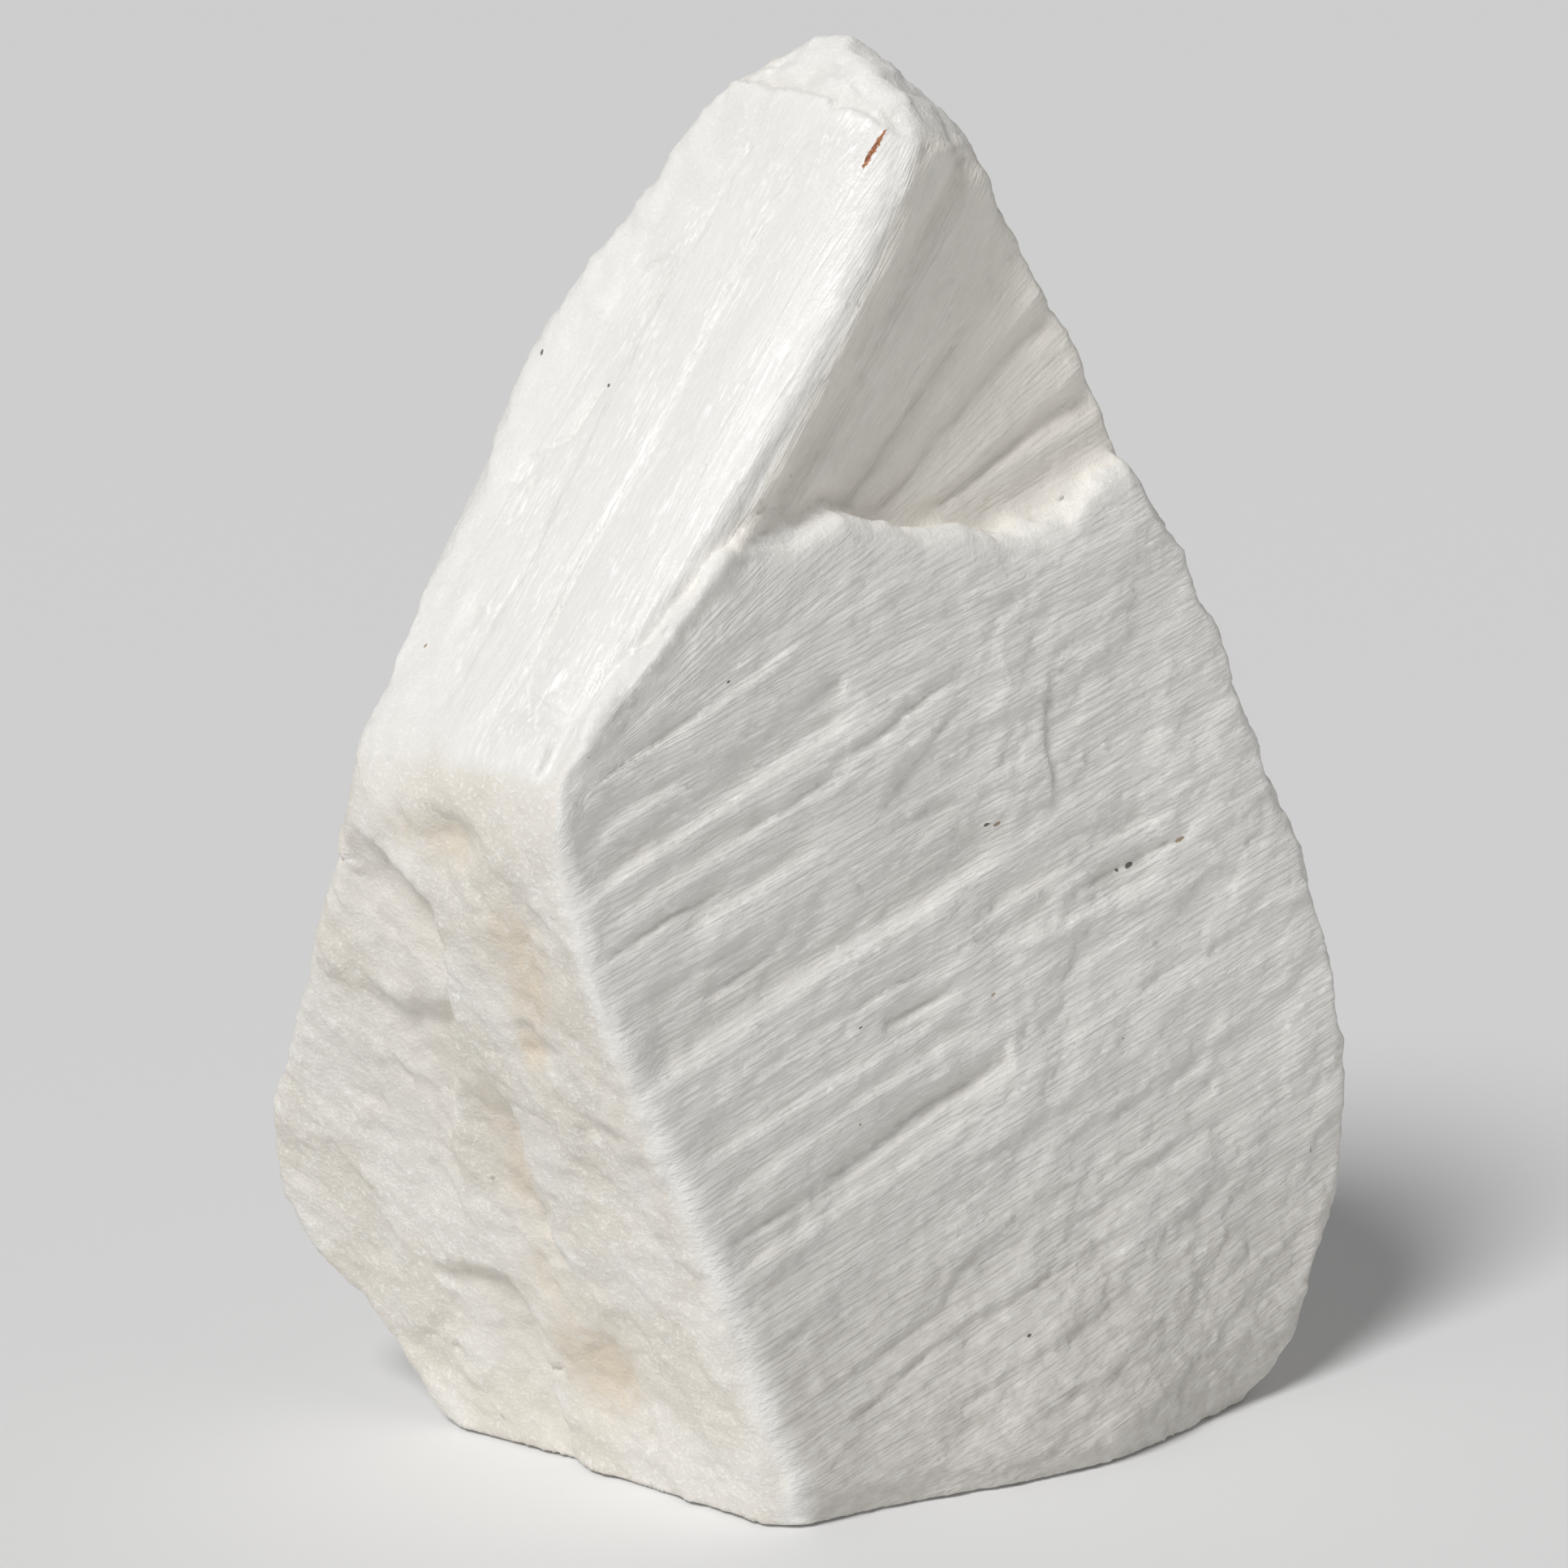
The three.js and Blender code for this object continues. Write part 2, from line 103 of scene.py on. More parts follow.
# The four upright rims, each as (height, x, y).
LEFT_RIM = [
    (-6, -20, -4), (0, -25.4, -0.5), (6, -31.6, 1.5), (13, -37.8, 3.2), (20, -39.4, 2.8),
    (31, -36.1, -2), (42, -33.4, -9), (51, -31.4, -14), (58, -30, -13), (67, -27, -8),
    (75, -25, -4.5), (79, -24.1, -2.3), (83, -22.4, -0.6), (88, -14.3, 1.2), (93, -10.6, 2.4),
    (97, -10, 2.4), (103, -5.4, 1),
]
RIGHT_RIM = [
    (-6, 27.5, 0), (0, 32.6, 3.5), (6, 36.4, 8.2), (12, 38.9, 10.2), (22, 40.1, 13),
    (30, 39.1, 12.7), (38, 37, 11.8), (50, 31.8, 9.8), (60, 27.3, 7.7), (66, 24.6, 6.5),
    (71, 21.9, 6.5), (80, 15.3, 5.6), (86, 11.1, 4.7), (90, 8.5, 4), (94, 7.3, 3.4), (97, 6.5, 2.9),
    (103, 4, 2),
]
BACK_RIGHT_RIM = [
    (-6, 15, 16), (0, 18, 19), (12, 22, 27), (26, 22, 29.5), (42, 19, 27.5),
    (58, 13, 23), (74, 8, 17), (90, 4.5, 9.5), (97, 3, 6), (103, 2, 4),
]
BACK_LEFT_RIM = [
    (-6, -15, 6), (0, -18, 9), (12, -24, 14.5), (26, -26.5, 16.5), (42, -25, 14),
    (58, -20.5, 12.5), (74, -15.5, 11), (90, -9, 7.5), (97, -6, 5), (103, -3, 3),
]
# Height of the broken top edge of the front sheet, against distance along the sheet.
SHEET_CREST = [
    (-60, 52.6), (-34, 52.8), (-30, 53.7), (-27, 57), (-21, 61.1), (-15.6, 64.8),
    (-12.7, 66.4), (-8.6, 67.2), (-5.7, 68), (-3, 67.2), (0, 66.6), (7, 65.6), (10, 65.2),
    (13, 66), (16, 67.6), (20.4, 68.6), (40, 70),
]
SCARP_LINE = [
    (0, 14), (17, 13.2), (22, 12), (25, 11.6), (29, 10.2), (33.5, 8.4), (36.4, 8),
    (39.4, 7.7), (42, 7.8), (43.4, 8.4), (45, 10.2), (47.2, 13.3), (51, 19),
]
SHELF_LINE = [(8, 34.6), (11, 34.5), (15.7, 34.1), (18.5, 35.1), (21.5, 38.9), (26, 41)]
VALLEY_LINE = [
    (0, 10), (5, 10.6), (8, 10.8), (12, 10.2), (15, 7.6), (18, 6.6), (21.5, 7), (25, 7.2),
    (29, 7.4), (33, 7.8),
]
# Rounded hollows of the end face: across, height, half width, half height, depth.
HOLLOWS = [
    (5.6, 47.8, 2.6, 1.7, 0.7), (10, 48, 2.2, 1.6, 0.4), (0.2, 39.8, 2.2, 3.8, 0.7),
    (1.6, 33.5, 1.2, 1.2, 0.6), (2.2, 8.6, 2.8, 3.4, 0.8), (-3.5, 24, 2.4, 3, 0.4),
    (9.5, 31, 2, 3, -0.4),
]


def add_object(name, data):
    thing = bpy.data.objects.new(name, data)
    bpy.context.scene.collection.objects.link(thing)
    return thing


def new_material(name):
    material = bpy.data.materials.new(name)
    material.use_nodes = True
    return material, material.node_tree.nodes["Principled BSDF"]


def set_inputs(node, values):
    for name, value in values.items():
        node.inputs[name].default_value = value


def step(start, end, value):
    t = np.clip((value - start) / (end - start), 0, 1)
    return t * t * (3 - 2 * t)


def hill(value, half_width):
    return np.exp(-((value / half_width) ** 2))


def join(a, b, round_over):
    """Larger of two values, with the corner between them rounded."""
    near = np.maximum(round_over - np.abs(a - b), 0) / round_over
    return np.maximum(a, b) + near * near * round_over * 0.25


def along(rows, position, column=1):
    """Smooth curve through (position, value, ...) rows, held level past both ends."""
    table = np.asarray(rows, float)
    spots, values = table[:, 0], table[:, column]
    spans = np.diff(spots)
    slopes = np.diff(values) / spans
    tangents = np.empty_like(values)
    tangents[0], tangents[-1] = slopes[0], slopes[-1]
    tangents[1:-1] = (slopes[:-1] * spans[1:] + slopes[1:] * spans[:-1]) / (spans[:-1] + spans[1:])
    at = np.clip(position, spots[0], spots[-1])
    i = np.clip(np.searchsorted(spots, at, side="right") - 1, 0, len(spans) - 1)
    t = (at - spots[i]) / spans[i]
    start = (1 + 2 * t) * (1 - t) ** 2 * values[i] + t * (1 - t) ** 2 * spans[i] * tangents[i]
    end = t * t * (3 - 2 * t) * values[i + 1] + t * t * (t - 1) * spans[i] * tangents[i + 1]
    return start + end


def plane(x, y, z, point, direction):
    normal = np.array(direction, float) / np.linalg.norm(direction)
    return normal[0] * (x - point[0]) + normal[1] * (y - point[1]) + normal[2] * (z - point[2])


def wall(start, end, x, y):
    """Distance outside the upright wall that runs from one rim to the next."""
    run_x, run_y = end[0] - start[0], end[1] - start[1]
    return (run_y * (x - start[0]) - run_x * (y - start[1])) / np.hypot(run_x, run_y)


def along_sheet(x, y):
    """Distance along the front sheet, and inward from it."""
    return x * COS_TURN + y * SIN_TURN, y * COS_TURN - x * SIN_TURN


def across_end(x, y):
    """Distance across the granular end face."""
    return END_ACROSS[0] * y + END_ACROSS[1] * x


def end_relief(across, z):
    """Depth broken out of the granular end face."""
    past_scarp = across - along(SCARP_LINE, z)
    above_shelf = z - along(SHELF_LINE, across)
    below = step(1.6, -1.4, above_shelf)
    pocket = 0.5 + 1.1 * step(0, 9, above_shelf)
    lower = 1.3 * np.exp(np.minimum(above_shelf, 0) / 7) + 0.3
    panel = pocket * (1 - below) + lower * below
    reach = step(-0.1, 1.0, past_scarp) * np.exp(-np.maximum(past_scarp - 2, 0) / 11)
    depth = panel * reach * step(16, 24, z) * step(48.5, 43, z)
    from_valley = across - along(VALLEY_LINE, z)
    floor_depth = 1 - 0.45 * step(26, 18, z) + 0.45 * step(16, 8, z)
    fade = step(36, 30, z) * (1 - 0.6 * step(5, 0, z))
    depth += 0.8 * hill(from_valley, np.where(from_valley > 0, 3.6, 2.8)) * floor_depth * fade
    for middle, height, half_width, half_height, deep in HOLLOWS:
        depth += deep * hill(across - middle, half_width) * hill(z - height, half_height)
    return depth


def end_lips(across, z):
    """Depth broken out below the crisp lips of the end face."""
    wobble = 0.5 * flat_noise(across, z, 2.2, 2.2, 67)
    wobble = wobble + 0.22 * flat_noise(across, z, 0.8, 0.8, 68)
    depth = np.zeros(np.shape(z))
    for line, *lip in END_LEDGES:
        depth += ledge(across + wobble, z + wobble, line, *lip)
    for line, *crack in END_GROOVES:
        depth += groove(across + wobble, z, line, *crack)
    return depth * step(55, 51, z)


def back_wall(x, y, z):
    """Field of the three broken walls that close the stone behind."""
    rims = [
        (along(rim, z, 1), along(rim, z, 2))
        for rim in (RIGHT_RIM, BACK_RIGHT_RIM, BACK_LEFT_RIM, LEFT_RIM)
    ]
    lump = (
        0.8 * np.sin(0.21 * x + 1.3) * np.cos(0.16 * z + 0.4)
        + 0.45 * np.sin(0.37 * x - 0.24 * z)
        + 0.35 * np.cos(0.41 * z + 0.2 * y)
    )
    end_lump = (
        0.5 * np.sin(0.3 * z + 0.25 * y) * np.cos(0.11 * z - 0.4 * y)
        + 0.4 * np.cos(0.21 * z - 0.33 * y)
    )
    ragged = 1.6 * np.sin(0.33 * z) + 0.8 * np.sin(0.9 * z)
    terrace = 2.4 * step(-1, 0.6, z - 52 - 0.395 * x) * step(-9, -6.4, x + 0.5 * (z - 50) + ragged)
    right = wall(rims[0], rims[1], x, y) + end_lump
    middle = wall(rims[1], rims[2], x, y) + terrace - 0.8 * lump
    left = wall(rims[2], rims[3], x, y) - 0.5 * lump
    return join(join(right, middle, BACK_ROUND), left, BACK_ROUND)


def faces(x, y, z):
    """Field of each face of the stone: negative inside, millimetres outside."""
    run, inward = along_sheet(x, y)
    rise = np.clip((z - SHOULDER) / 38, 0, 1.15)
    bow = 4 * rise * (1 - rise)
    across = across_end(x, y)
    belly = 1.8 * np.sin(np.pi * np.clip((z - 8) / 50, 0, 1) ** 1.6)
    end = plane(x, y, z, (-1.3, -22.9, 0), (-0.62, -0.74, -0.25)) - belly
    end = end + end_relief(across, z)
    near = np.abs(end) < LIPS_REACH
    end[near] += end_lips(across[near], z[near])
    bright = plane(x, y, z, (-17, -27.3, SHOULDER), (-0.53, -0.63, 0.58)) + 2.4 * bow

    cap = join(
        plane(x, y, z, (4.8, -10.8, 94.6), (-0.31, -0.49, 0.815)),
        plane(x, y, z, (6.3, -10.2, 94), (0.62, -0.09, 0.78)),
        2,
    )
    cap = join(cap, plane(x, y, z, (0, 0, 100.3), (0.05, 0.1, 1)), 2)

    toe = 3.8 * hill(run - 9, 14) * step(20, 0, z)
    sheet = -16.6 + 0.105 * z - toe + step(4, 0, z) ** 2
    jag = 0.9 * noise(run / 5, inward / 4, z / 9, 3) + 0.45 * noise(run / 2.1, inward / 2, z / 4, 5)
    jag = jag + 0.16 * noise(run / 0.9, inward, z / 2, 6) + 0.5
    jag = jag * step(-33, -26, run)
    crest = z - along(SHEET_CREST, run) - jag + 0.35 * np.maximum(inward - sheet, 0)
    slab = join(sheet - inward, 0.9 * crest, 2.6)
    past_edge = np.maximum(run + 30.2 - 0.792 * (z - SHOULDER) - 2.98 * bow, 0)
    rising = 2 * np.clip((past_edge - 18) / 18, 0, 1)
    dish = 5.5 * (1 - np.exp(-past_edge / 8)) - rising
    hollow = dish - 11.05 - inward
    front = np.where(z > HOLLOW_BOTTOM, -join(-hollow, -slab, SHEET_FILLET), slab)
    flat_front = np.where(crest < CREST_EDGE, sheet - inward, hollow)

    back = back_wall(x, y, z)
    at_hollow = step(-0.5, 2.5, slab - hollow) * (z > HOLLOW_BOTTOM)
    rounding = EDGE_ROUND + (CREST_ROUND - EDGE_ROUND) * at_hollow
    rounding = rounding + (END_ROUND - rounding) * step(-1.5, 1.5, end - front)
    return {
        "end": end, "bright": bright, "front": front, "cap": cap, "back": back,
        "flat_front": flat_front, "crest": crest, "rounding": rounding,
    }


def stone_field(points):
    x, y, z = points[:, 0], points[:, 1], points[:, 2]
    part = faces(x, y, z)
    field = join(part["end"], part["front"], FRONT_ROUND + LOW_ROUND * step(36, 20, z))
    field = join(field, part["bright"], part["rounding"])
    field = join(field, part["cap"], CAP_ROUND)
    field = join(field, part["back"], RIM_ROUND)
    return np.maximum(field, -z)


# --- repeatable noise ---


def scramble(i, j, k, seed):
    """A repeatable 32 bit number for each whole-number cell."""
    n = i.astype(np.int64) * 73856093 ^ j.astype(np.int64) * 19349663
    n = (n ^ k.astype(np.int64) * 83492791 ^ seed * 40503 * 65599) & 0xFFFFFFFF
    n = ((n ^ (n >> 16)) * 0x45D9F3B) & 0xFFFFFFFF
    n = ((n ^ (n >> 16)) * 0x45D9F3B) & 0xFFFFFFFF
    return n ^ (n >> 16)


def chance(i, j, k, seed):
    return (scramble(i, j, k, seed) & 0xFFFF) / 65535.0


def noise(x, y, z, seed):
    """Smooth gradient noise from about -1 to 1."""
    ix, iy, iz = np.floor(x), np.floor(y), np.floor(z)
    fx, fy, fz = x - ix, y - iy, z - iz
    ux, uy, uz = (f * f * f * (f * (f * 6 - 15) + 10) for f in (fx, fy, fz))
    total = np.zeros(np.shape(x))
    for dx, dy, dz in CORNERS:
        n = scramble(ix + dx, iy + dy, iz + dz, seed)
        slope_x, slope_y, slope_z = (((n >> bits) & 255) / 127.5 - 1 for bits in (0, 8, 16))
        weight = (ux if dx else 1 - ux) * (uy if dy else 1 - uy) * (uz if dz else 1 - uz)
        total += weight * (slope_x * (fx - dx) + slope_y * (fy - dy) + slope_z * (fz - dz))
    return 1.5 * total


def flat_noise(u, v, length, width, seed):
    """Noise over a plane, with different sizes along and across it."""
    return noise(u / length, v / width, 0 * v, seed)


def stretched(a, b, c, length, width, seed):
    """Noise with one size along the first direction and another across it."""
    return noise(a / length, b / width, c / width, seed)


def lumps(x, y, z, size, seed):
    return noise(x / size, y / size, z / size, seed)


# --- fibres ---

SHEET_ANGLE = math.radians(17.1)
STEEP_ANGLE = math.radians(53.5)
SHEET_PIVOT = (-33.5, 50.5)
HOLLOW_PIVOT = (-14.3, 57.0)
FAN_RADIUS = 28.0
BACK_PIVOT = (-103.0, -20.0)
BACK_RADIUS = 110.0
# The bright side's fibres bow: where along them the bow is nil, and how fast it grows.
BOW_MIDDLE, BOW_ABOVE, BOW_BELOW = 15, 0.0055, 0.003


def rotated(u, v, angle):
    """Distance along and across a direction at the angle."""
    cos, sin = math.cos(angle), math.sin(angle)
    return u * cos + v * sin, v * cos - u * sin


def fan(run, z, pivot, steep_first=False):
    """Distance along and across fibres that spread like a fan above the pivot."""
    du, dz = run - pivot[0], z - pivot[1]
    base_a, base_b = rotated(*pivot, SHEET_ANGLE)
    low_a, low_b = rotated(du, dz, SHEET_ANGLE)
    high_a, high_b = rotated(du, dz, STEEP_ANGLE)
    turned = FAN_RADIUS * (np.arctan2(dz, du) - SHEET_ANGLE)
    top = FAN_RADIUS * (STEEP_ANGLE - SHEET_ANGLE)
    below = (low_b < 0) & ~(steep_first & (high_b > 0))
    above = high_b > 0
    a = np.where(below, low_a, np.where(above, high_a, np.hypot(du, dz)))
    b = np.where(below, low_b, np.where(above, top + high_b, turned))
    return a + base_a, b + base_b


def fibre_place(x, y, z, part):
    """Along, across and inward through the bundle of fibres, in millimetres."""
    run, inward = along_sheet(x, y)
    sheet_a, sheet_b = fan(run, z, SHEET_PIVOT)
    other_a, other_b = fan(run, z, HOLLOW_PIVOT, part["is_bright"])
    du, dz = run - BACK_PIVOT[0], z - BACK_PIVOT[1]
    a = np.where(part["is_sheet"], sheet_a, other_a)
    b = np.where(part["is_sheet"], sheet_b, other_b)
    a = np.where(part["is_back"], np.hypot(du, dz), a)
    b = np.where(part["is_back"], BACK_RADIUS * np.arctan2(dz, du), b)
    return a, b, inward


def bowed(a, c, share):
    """Distance inward that follows the fibres of the bright side, which bow."""
    above, below = np.maximum(a - BOW_MIDDLE, 0), np.maximum(BOW_MIDDLE - a, 0)
    return c + share * (BOW_ABOVE * above**2 + BOW_BELOW * below**2)


def fibre_direction(x, y, z, part):
    h = 0.2
    here = fibre_place(x, y, z, part)[0]
    along_run = fibre_place(x + h * COS_TURN, y + h * SIN_TURN, z, part)[0] - here
    up = fibre_place(x, y, z + h, part)[0] - here
    length = np.hypot(along_run, up) + 1e-6
    along_run, up = along_run / length, up / length
    return np.stack([along_run * COS_TURN, along_run * SIN_TURN, up], -1)


def billow(a, b, c, width, length, seed):
    """Rounded ridges with sharp grooves between them, drawn out along the fibres."""
    return np.abs(stretched(a, b, c, length, width, seed))


def laths(a, across, depth, width, length, seed):
    """Long shingled strips, each swelling slowly and dropping at its upper edge, 0 to 1."""
    wander = 0.9 * noise(a / (2.2 * length), across / (3 * width), depth / (3 * width), seed)
    wander = wander + 0.16 * noise(a / 3.5, across / width, depth / width, seed + 1)
    place = across / width + wander
    strip = np.floor(place)
    rise = place - strip
    tall = noise(a / length, 0.37 * strip + 0.21, depth / (5 * width) + 0.61 * strip, seed + 2)
    tall = np.clip(1.7 * tall + 0.35, 0, 1)
    return tall * rise * step(1.0, 0.76, rise)


def splinters(a, b, c, width, length, seed):
    """Thin plates that swell along the fibres and end in a ragged break, 0 to 1 high."""
    wander = 0.6 * noise(a / (3 * length), b / (6 * width), c / (6 * width), seed + 1)
    across = b / width + wander
    cell = np.floor(across)
    side = across - cell
    layer = np.floor(c / (5 * width) + 0.4 * stretched(a, b, c, 30, 9, seed + 2))
    ragged = a + 0.8 * stretched(a, b, c, 4, 0.3, seed + 3)
    ragged = ragged + 1.2 * stretched(a, b, c, 9, 0.9, seed + 4)
    span = length * (0.7 + 0.8 * chance(cell, layer, cell, seed + 5))
    u = ragged / span + 7 * chance(cell, layer, layer, seed + 6)
    piece = np.floor(u)
    t = u - piece
    flip = chance(cell, piece, layer, seed + 7) > 0.5
    t = np.where(flip, t, 1 - t)
    present = chance(cell, piece, layer, seed + 8)
    size = np.clip((present - 0.45) / 0.55, 0, 1)
    edge = 1 - np.abs(2 * side - 1) ** 5
    return size * t**1.6 * step(1.0, 0.97, t) * edge


def plateaus(u, v, w, size, seed):
    """Low flat-topped patches with ragged edges, 0 to 1 high."""
    n = noise(u / size, v / size, w / size, seed)
    n = n + 0.35 * noise(u * 3 / size, v * 3 / size, w * 3 / size, seed + 1)
    n = n + 0.12 * noise(u * 9 / size, v * 9 / size, w * 9 / size, seed + 2)
    return step(-0.03, 0.05, n - 0.05) * 0.6 + step(0.3, 0.37, n) * 0.4


def stretches(u, v, line):
    """For each straight stretch of a line: how much of the line comes before it, its length,
    and, at each point, the distance along it, to its right and to the stretch itself."""
    done = 0.0
    for (u0, v0), (u1, v1) in zip(line, line[1:]):
        length = math.hypot(u1 - u0, v1 - v0)
        du, dv = (u1 - u0) / length, (v1 - v0) / length
        t = (u - u0) * du + (v - v0) * dv
        held = np.clip(t, 0, length)
        off = (u - u0) * dv - (v - v0) * du
        yield done, length, t, off, np.hypot(u - u0 - held * du, v - v0 - held * dv)
        done += length


def length_of(line):
    return sum(math.dist(p, q) for p, q in zip(line, line[1:]))


def ledge(u, v, line, height, reach, side, width):
    """Depth below a broken lip that follows a line, falling over the width, then healing."""
    nearest = np.full(np.shape(u), FAR)
    signed, travel, weights = (np.zeros(np.shape(u)) for _ in range(3))
    total = length_of(line)
    for n, (done, length, t, off, gap) in enumerate(stretches(u, v, line)):
        signed = np.where(gap < nearest, np.where(off * side > 0, gap, -gap), signed)
        nearest = np.minimum(nearest, gap)
        low = -FAR if n == 0 else 0
        high = FAR if n == len(line) - 2 else length
        weight = 1 / (gap * gap + 0.1) ** 2
        travel += weight * (done + np.clip(t, low, high))
        weights += weight
    travel = travel / weights
    fade = min(0.3 * total, 4.0)
    ends = step(-0.2, fade, travel) * step(total + 0.2, total - fade, travel)
    t = np.clip((signed + 0.1) / width, 0, 1)
    return height * ends * t * (2 - t) * np.exp(-np.maximum(signed - width, 0) / reach)


def groove(u, v, line, depth, half_width):
    """Depth of a crack that follows a line and closes at both ends."""
    deepest, total = np.zeros(np.shape(u)), length_of(line)
    for done, length, t, _, gap in stretches(u, v, line):
        share = (done + np.clip(t, 0, length)) / total
        here = hill(gap, half_width) * (4 * share * (1 - share)) ** 0.5
        deepest = np.maximum(deepest, here)
    return depth * deepest


def breaks(u, v, jiggle, lips, cracks):
    """Depth of each broken lip and then of each crack, on one side of the stone."""
    for line, *lip in lips:
        yield ledge(u + jiggle, v + jiggle, line, *lip)
    for line, *crack in cracks:
        yield groove(u, v + jiggle, line, *crack)


# --- surface relief ---

# Broken lips, as points of a line, then height, how far it takes to heal, the low side
# (1 is right of the way the line runs) and half the width of the lip.
# On the front sheet and in the hollow above it the points are along and across the fibres.
SHEET_LEDGES = [
    ([(-15, 37.6), (-8, 38), (0, 38.4), (10, 38.6), (21, 39)], 0.62, 5, -1, 1.3),
    ([(14, 33), (20, 32.6), (27, 31.9), (34, 31.5)], 0.45, 4, -1, 1.0),
    ([(-14, 23), (-5, 23.1), (4, 23.3), (13, 23.7)], 0.42, 4, -1, 0.9),
    ([(-15, 51.4), (-8, 52), (0, 52.6), (7, 53.1), (12, 53.6)], 0.5, 3, -1, 0.9),
    ([(-9.5, 45.6), (-5, 45.9), (1, 46.2), (7, 46.5)], 0.4, 3, -1, 0.8),
    ([(-14, 54.6), (-8, 55), (-2, 55.4)], 0.35, 2, -1, 0.8),
    ([(-15, 48.9), (-9, 49.3), (-3, 49.6), (4, 49.9)], 0.35, 2, -1, 0.8),
    ([(-14, 31), (-4, 31.4), (4, 31.2), (12, 31.5)], 0.28, 3, -1, 0.8),
    ([(-13, 28), (-3, 28.4), (6, 29), (14, 29.2)], 0.28, 3, -1, 0.8),
    ([(12, 35.2), (20, 35.8), (27, 36), (36, 35.4)], 0.28, 3, -1, 0.8),
    ([(16, 28.3), (24, 29), (33, 29.2)], 0.22, 3, -1, 0.8),
    ([(-12, 58.2), (-5, 58.8), (2, 59.6), (9, 60.4)], 0.3, 3, -1, 0.8),
    ([(16, 24.5), (24, 24.8), (32, 24.2), (38, 23.6)], 0.22, 3, -1, 0.8),
    ([(28.5, 50.8), (26.5, 48), (25.2, 45), (25, 42.5), (24, 40)], 0.34, 5, -1, 0.4),
    ([(20, 51), (15, 49.5), (10.5, 47.3), (10.2, 46)], 0.3, 3, -1, 0.6),
    ([(10.3, 44.8), (12, 45.3), (14, 45.2), (18, 44.6)], 0.25, 3, 1, 0.5),
    ([(10.2, 57), (10.5, 56.2), (10.5, 55.4)], 0.3, 3, 1, 0.4),
    ([(15, 27.6), (14.4, 26.4), (14.3, 24.9)], 0.28, 5, 1, 0.4),
    ([(-15, 43.6), (-8, 43.8), (0, 44.2)], 0.25, 3, 1, 0.7),
    ([(30.8, 15.9), (31, 15.2), (30.8, 14.5)], 0.2, 2, 1, 0.4),
    ([(-10, 9.4), (-4, 10.3), (0, 11.2), (4, 11.3), (12, 10.7), (20, 10.2)], 0.32, 3.5, 1, 0.5),
    ([(-9, 12.7), (-3, 12.9), (2, 13.1), (5, 15), (10, 15.4)], 0.22, 3, 1, 0.5),
    ([(14, 18.5), (20, 18.2), (27, 18), (33, 18.3)], 0.2, 2.5, 1, 0.5),
    ([(-3, 6.4), (5, 7), (12, 6.6), (20, 6.3)], 0.26, 3.5, 1, 0.5),
    ([(22, 8.1), (28, 8.6), (34, 8.5)], 0.22, 3, 1, 0.5),
    ([(2, 3), (9, 3.2), (16, 2.4)], 0.25, 3, 1, 0.5),
    ([(20, 13.4), (26, 13.6), (33, 12.4)], 0.2, 2.5, 1, 0.5),
    ([(8, 20.4), (15, 20.9), (22, 20.6)], 0.16, 2.5, 1, 0.5),
]
SHEET_GROOVES = [
    ([(-5, 25), (0, 25.4), (5, 25.8), (10, 26), (14.6, 26)], 0.75, 0.75),
    ([(-13, 25.4), (-8, 25.3), (-4, 25.2)], 0.35, 0.4),
    ([(7, 51.3), (13, 51.9), (20, 52.6)], 0.45, 0.45),
    ([(0, 50.4), (9, 50.6)], 0.3, 0.35),
    ([(-8, 41.4), (-1, 41.7)], 0.4, 0.4),
    ([(5, 32.8), (11.5, 32.9)], 0.5, 0.35),
    ([(-15, 47.3), (-8, 47.6), (-2, 47.5)], 0.35, 0.35),
    ([(24, 34.2), (30, 33.7), (36, 33.4)], 0.35, 0.4),
    ([(-2, 35.6), (6, 35.2), (13, 34.6)], 0.25, 0.35),
]
# Height of the long folds of the hollow, against distance across its fibres.
HOLLOW_FOLDS = [
    (58, 0), (60.4, -0.35), (61.5, 0.1), (62.6, 0.15), (63.3, -0.5), (65, 0.25), (66.4, 0.1),
    (68.9, -0.45), (70.2, 0.2), (71.4, 0.1), (72.5, -0.45), (73.5, -0.1), (76, 0.25),
    (78.5, 0.1), (80.4, -0.75), (83, 0.45), (85, 0),
]
# On the bright side the points are along the fibres and inward.
BRIGHT_LEDGES = [
    ([(-8.5, -2.5), (-4, -2.4), (0, -1.9), (3, -1.3), (8, -0.9), (18, -0.9), (23, -0.9),
      (27, -1.2), (31, -1.9), (34, -2.6), (37, -3.3), (40, -4.4)], 0.3, 2.5, 1, 0.4),
    ([(-8.5, 1.6), (-3, 2.1), (0, 2.7), (4, 3), (8, 3.7), (14, 4.3), (18, 4.6), (25, 4.3),
      (28, 3.8), (31, 2.9), (34, 2.3), (37, 1.3), (40, 0.2)], 0.35, 4, -1, 0.4),
    ([(-6, 7.2), (-3.5, 6.8), (0.5, 8), (5, 8.2)], 0.35, 3, -1, 0.5),
    ([(0.3, 5.6), (0.3, 4.7)], 0.3, 2, 1, 0.4),
    ([(26, 7.2), (28.3, 5.5), (28.4, 4.6)], 0.3, 4, 1, 0.4),
    ([(20.8, 12.3), (21.3, 10.3), (22.8, 9.8)], 0.35, 4, 1, 0.5),
    ([(-4.2, -3.3), (-4.4, -5), (-5.3, -8.4)], 0.4, 3, 1, 0.35),
]
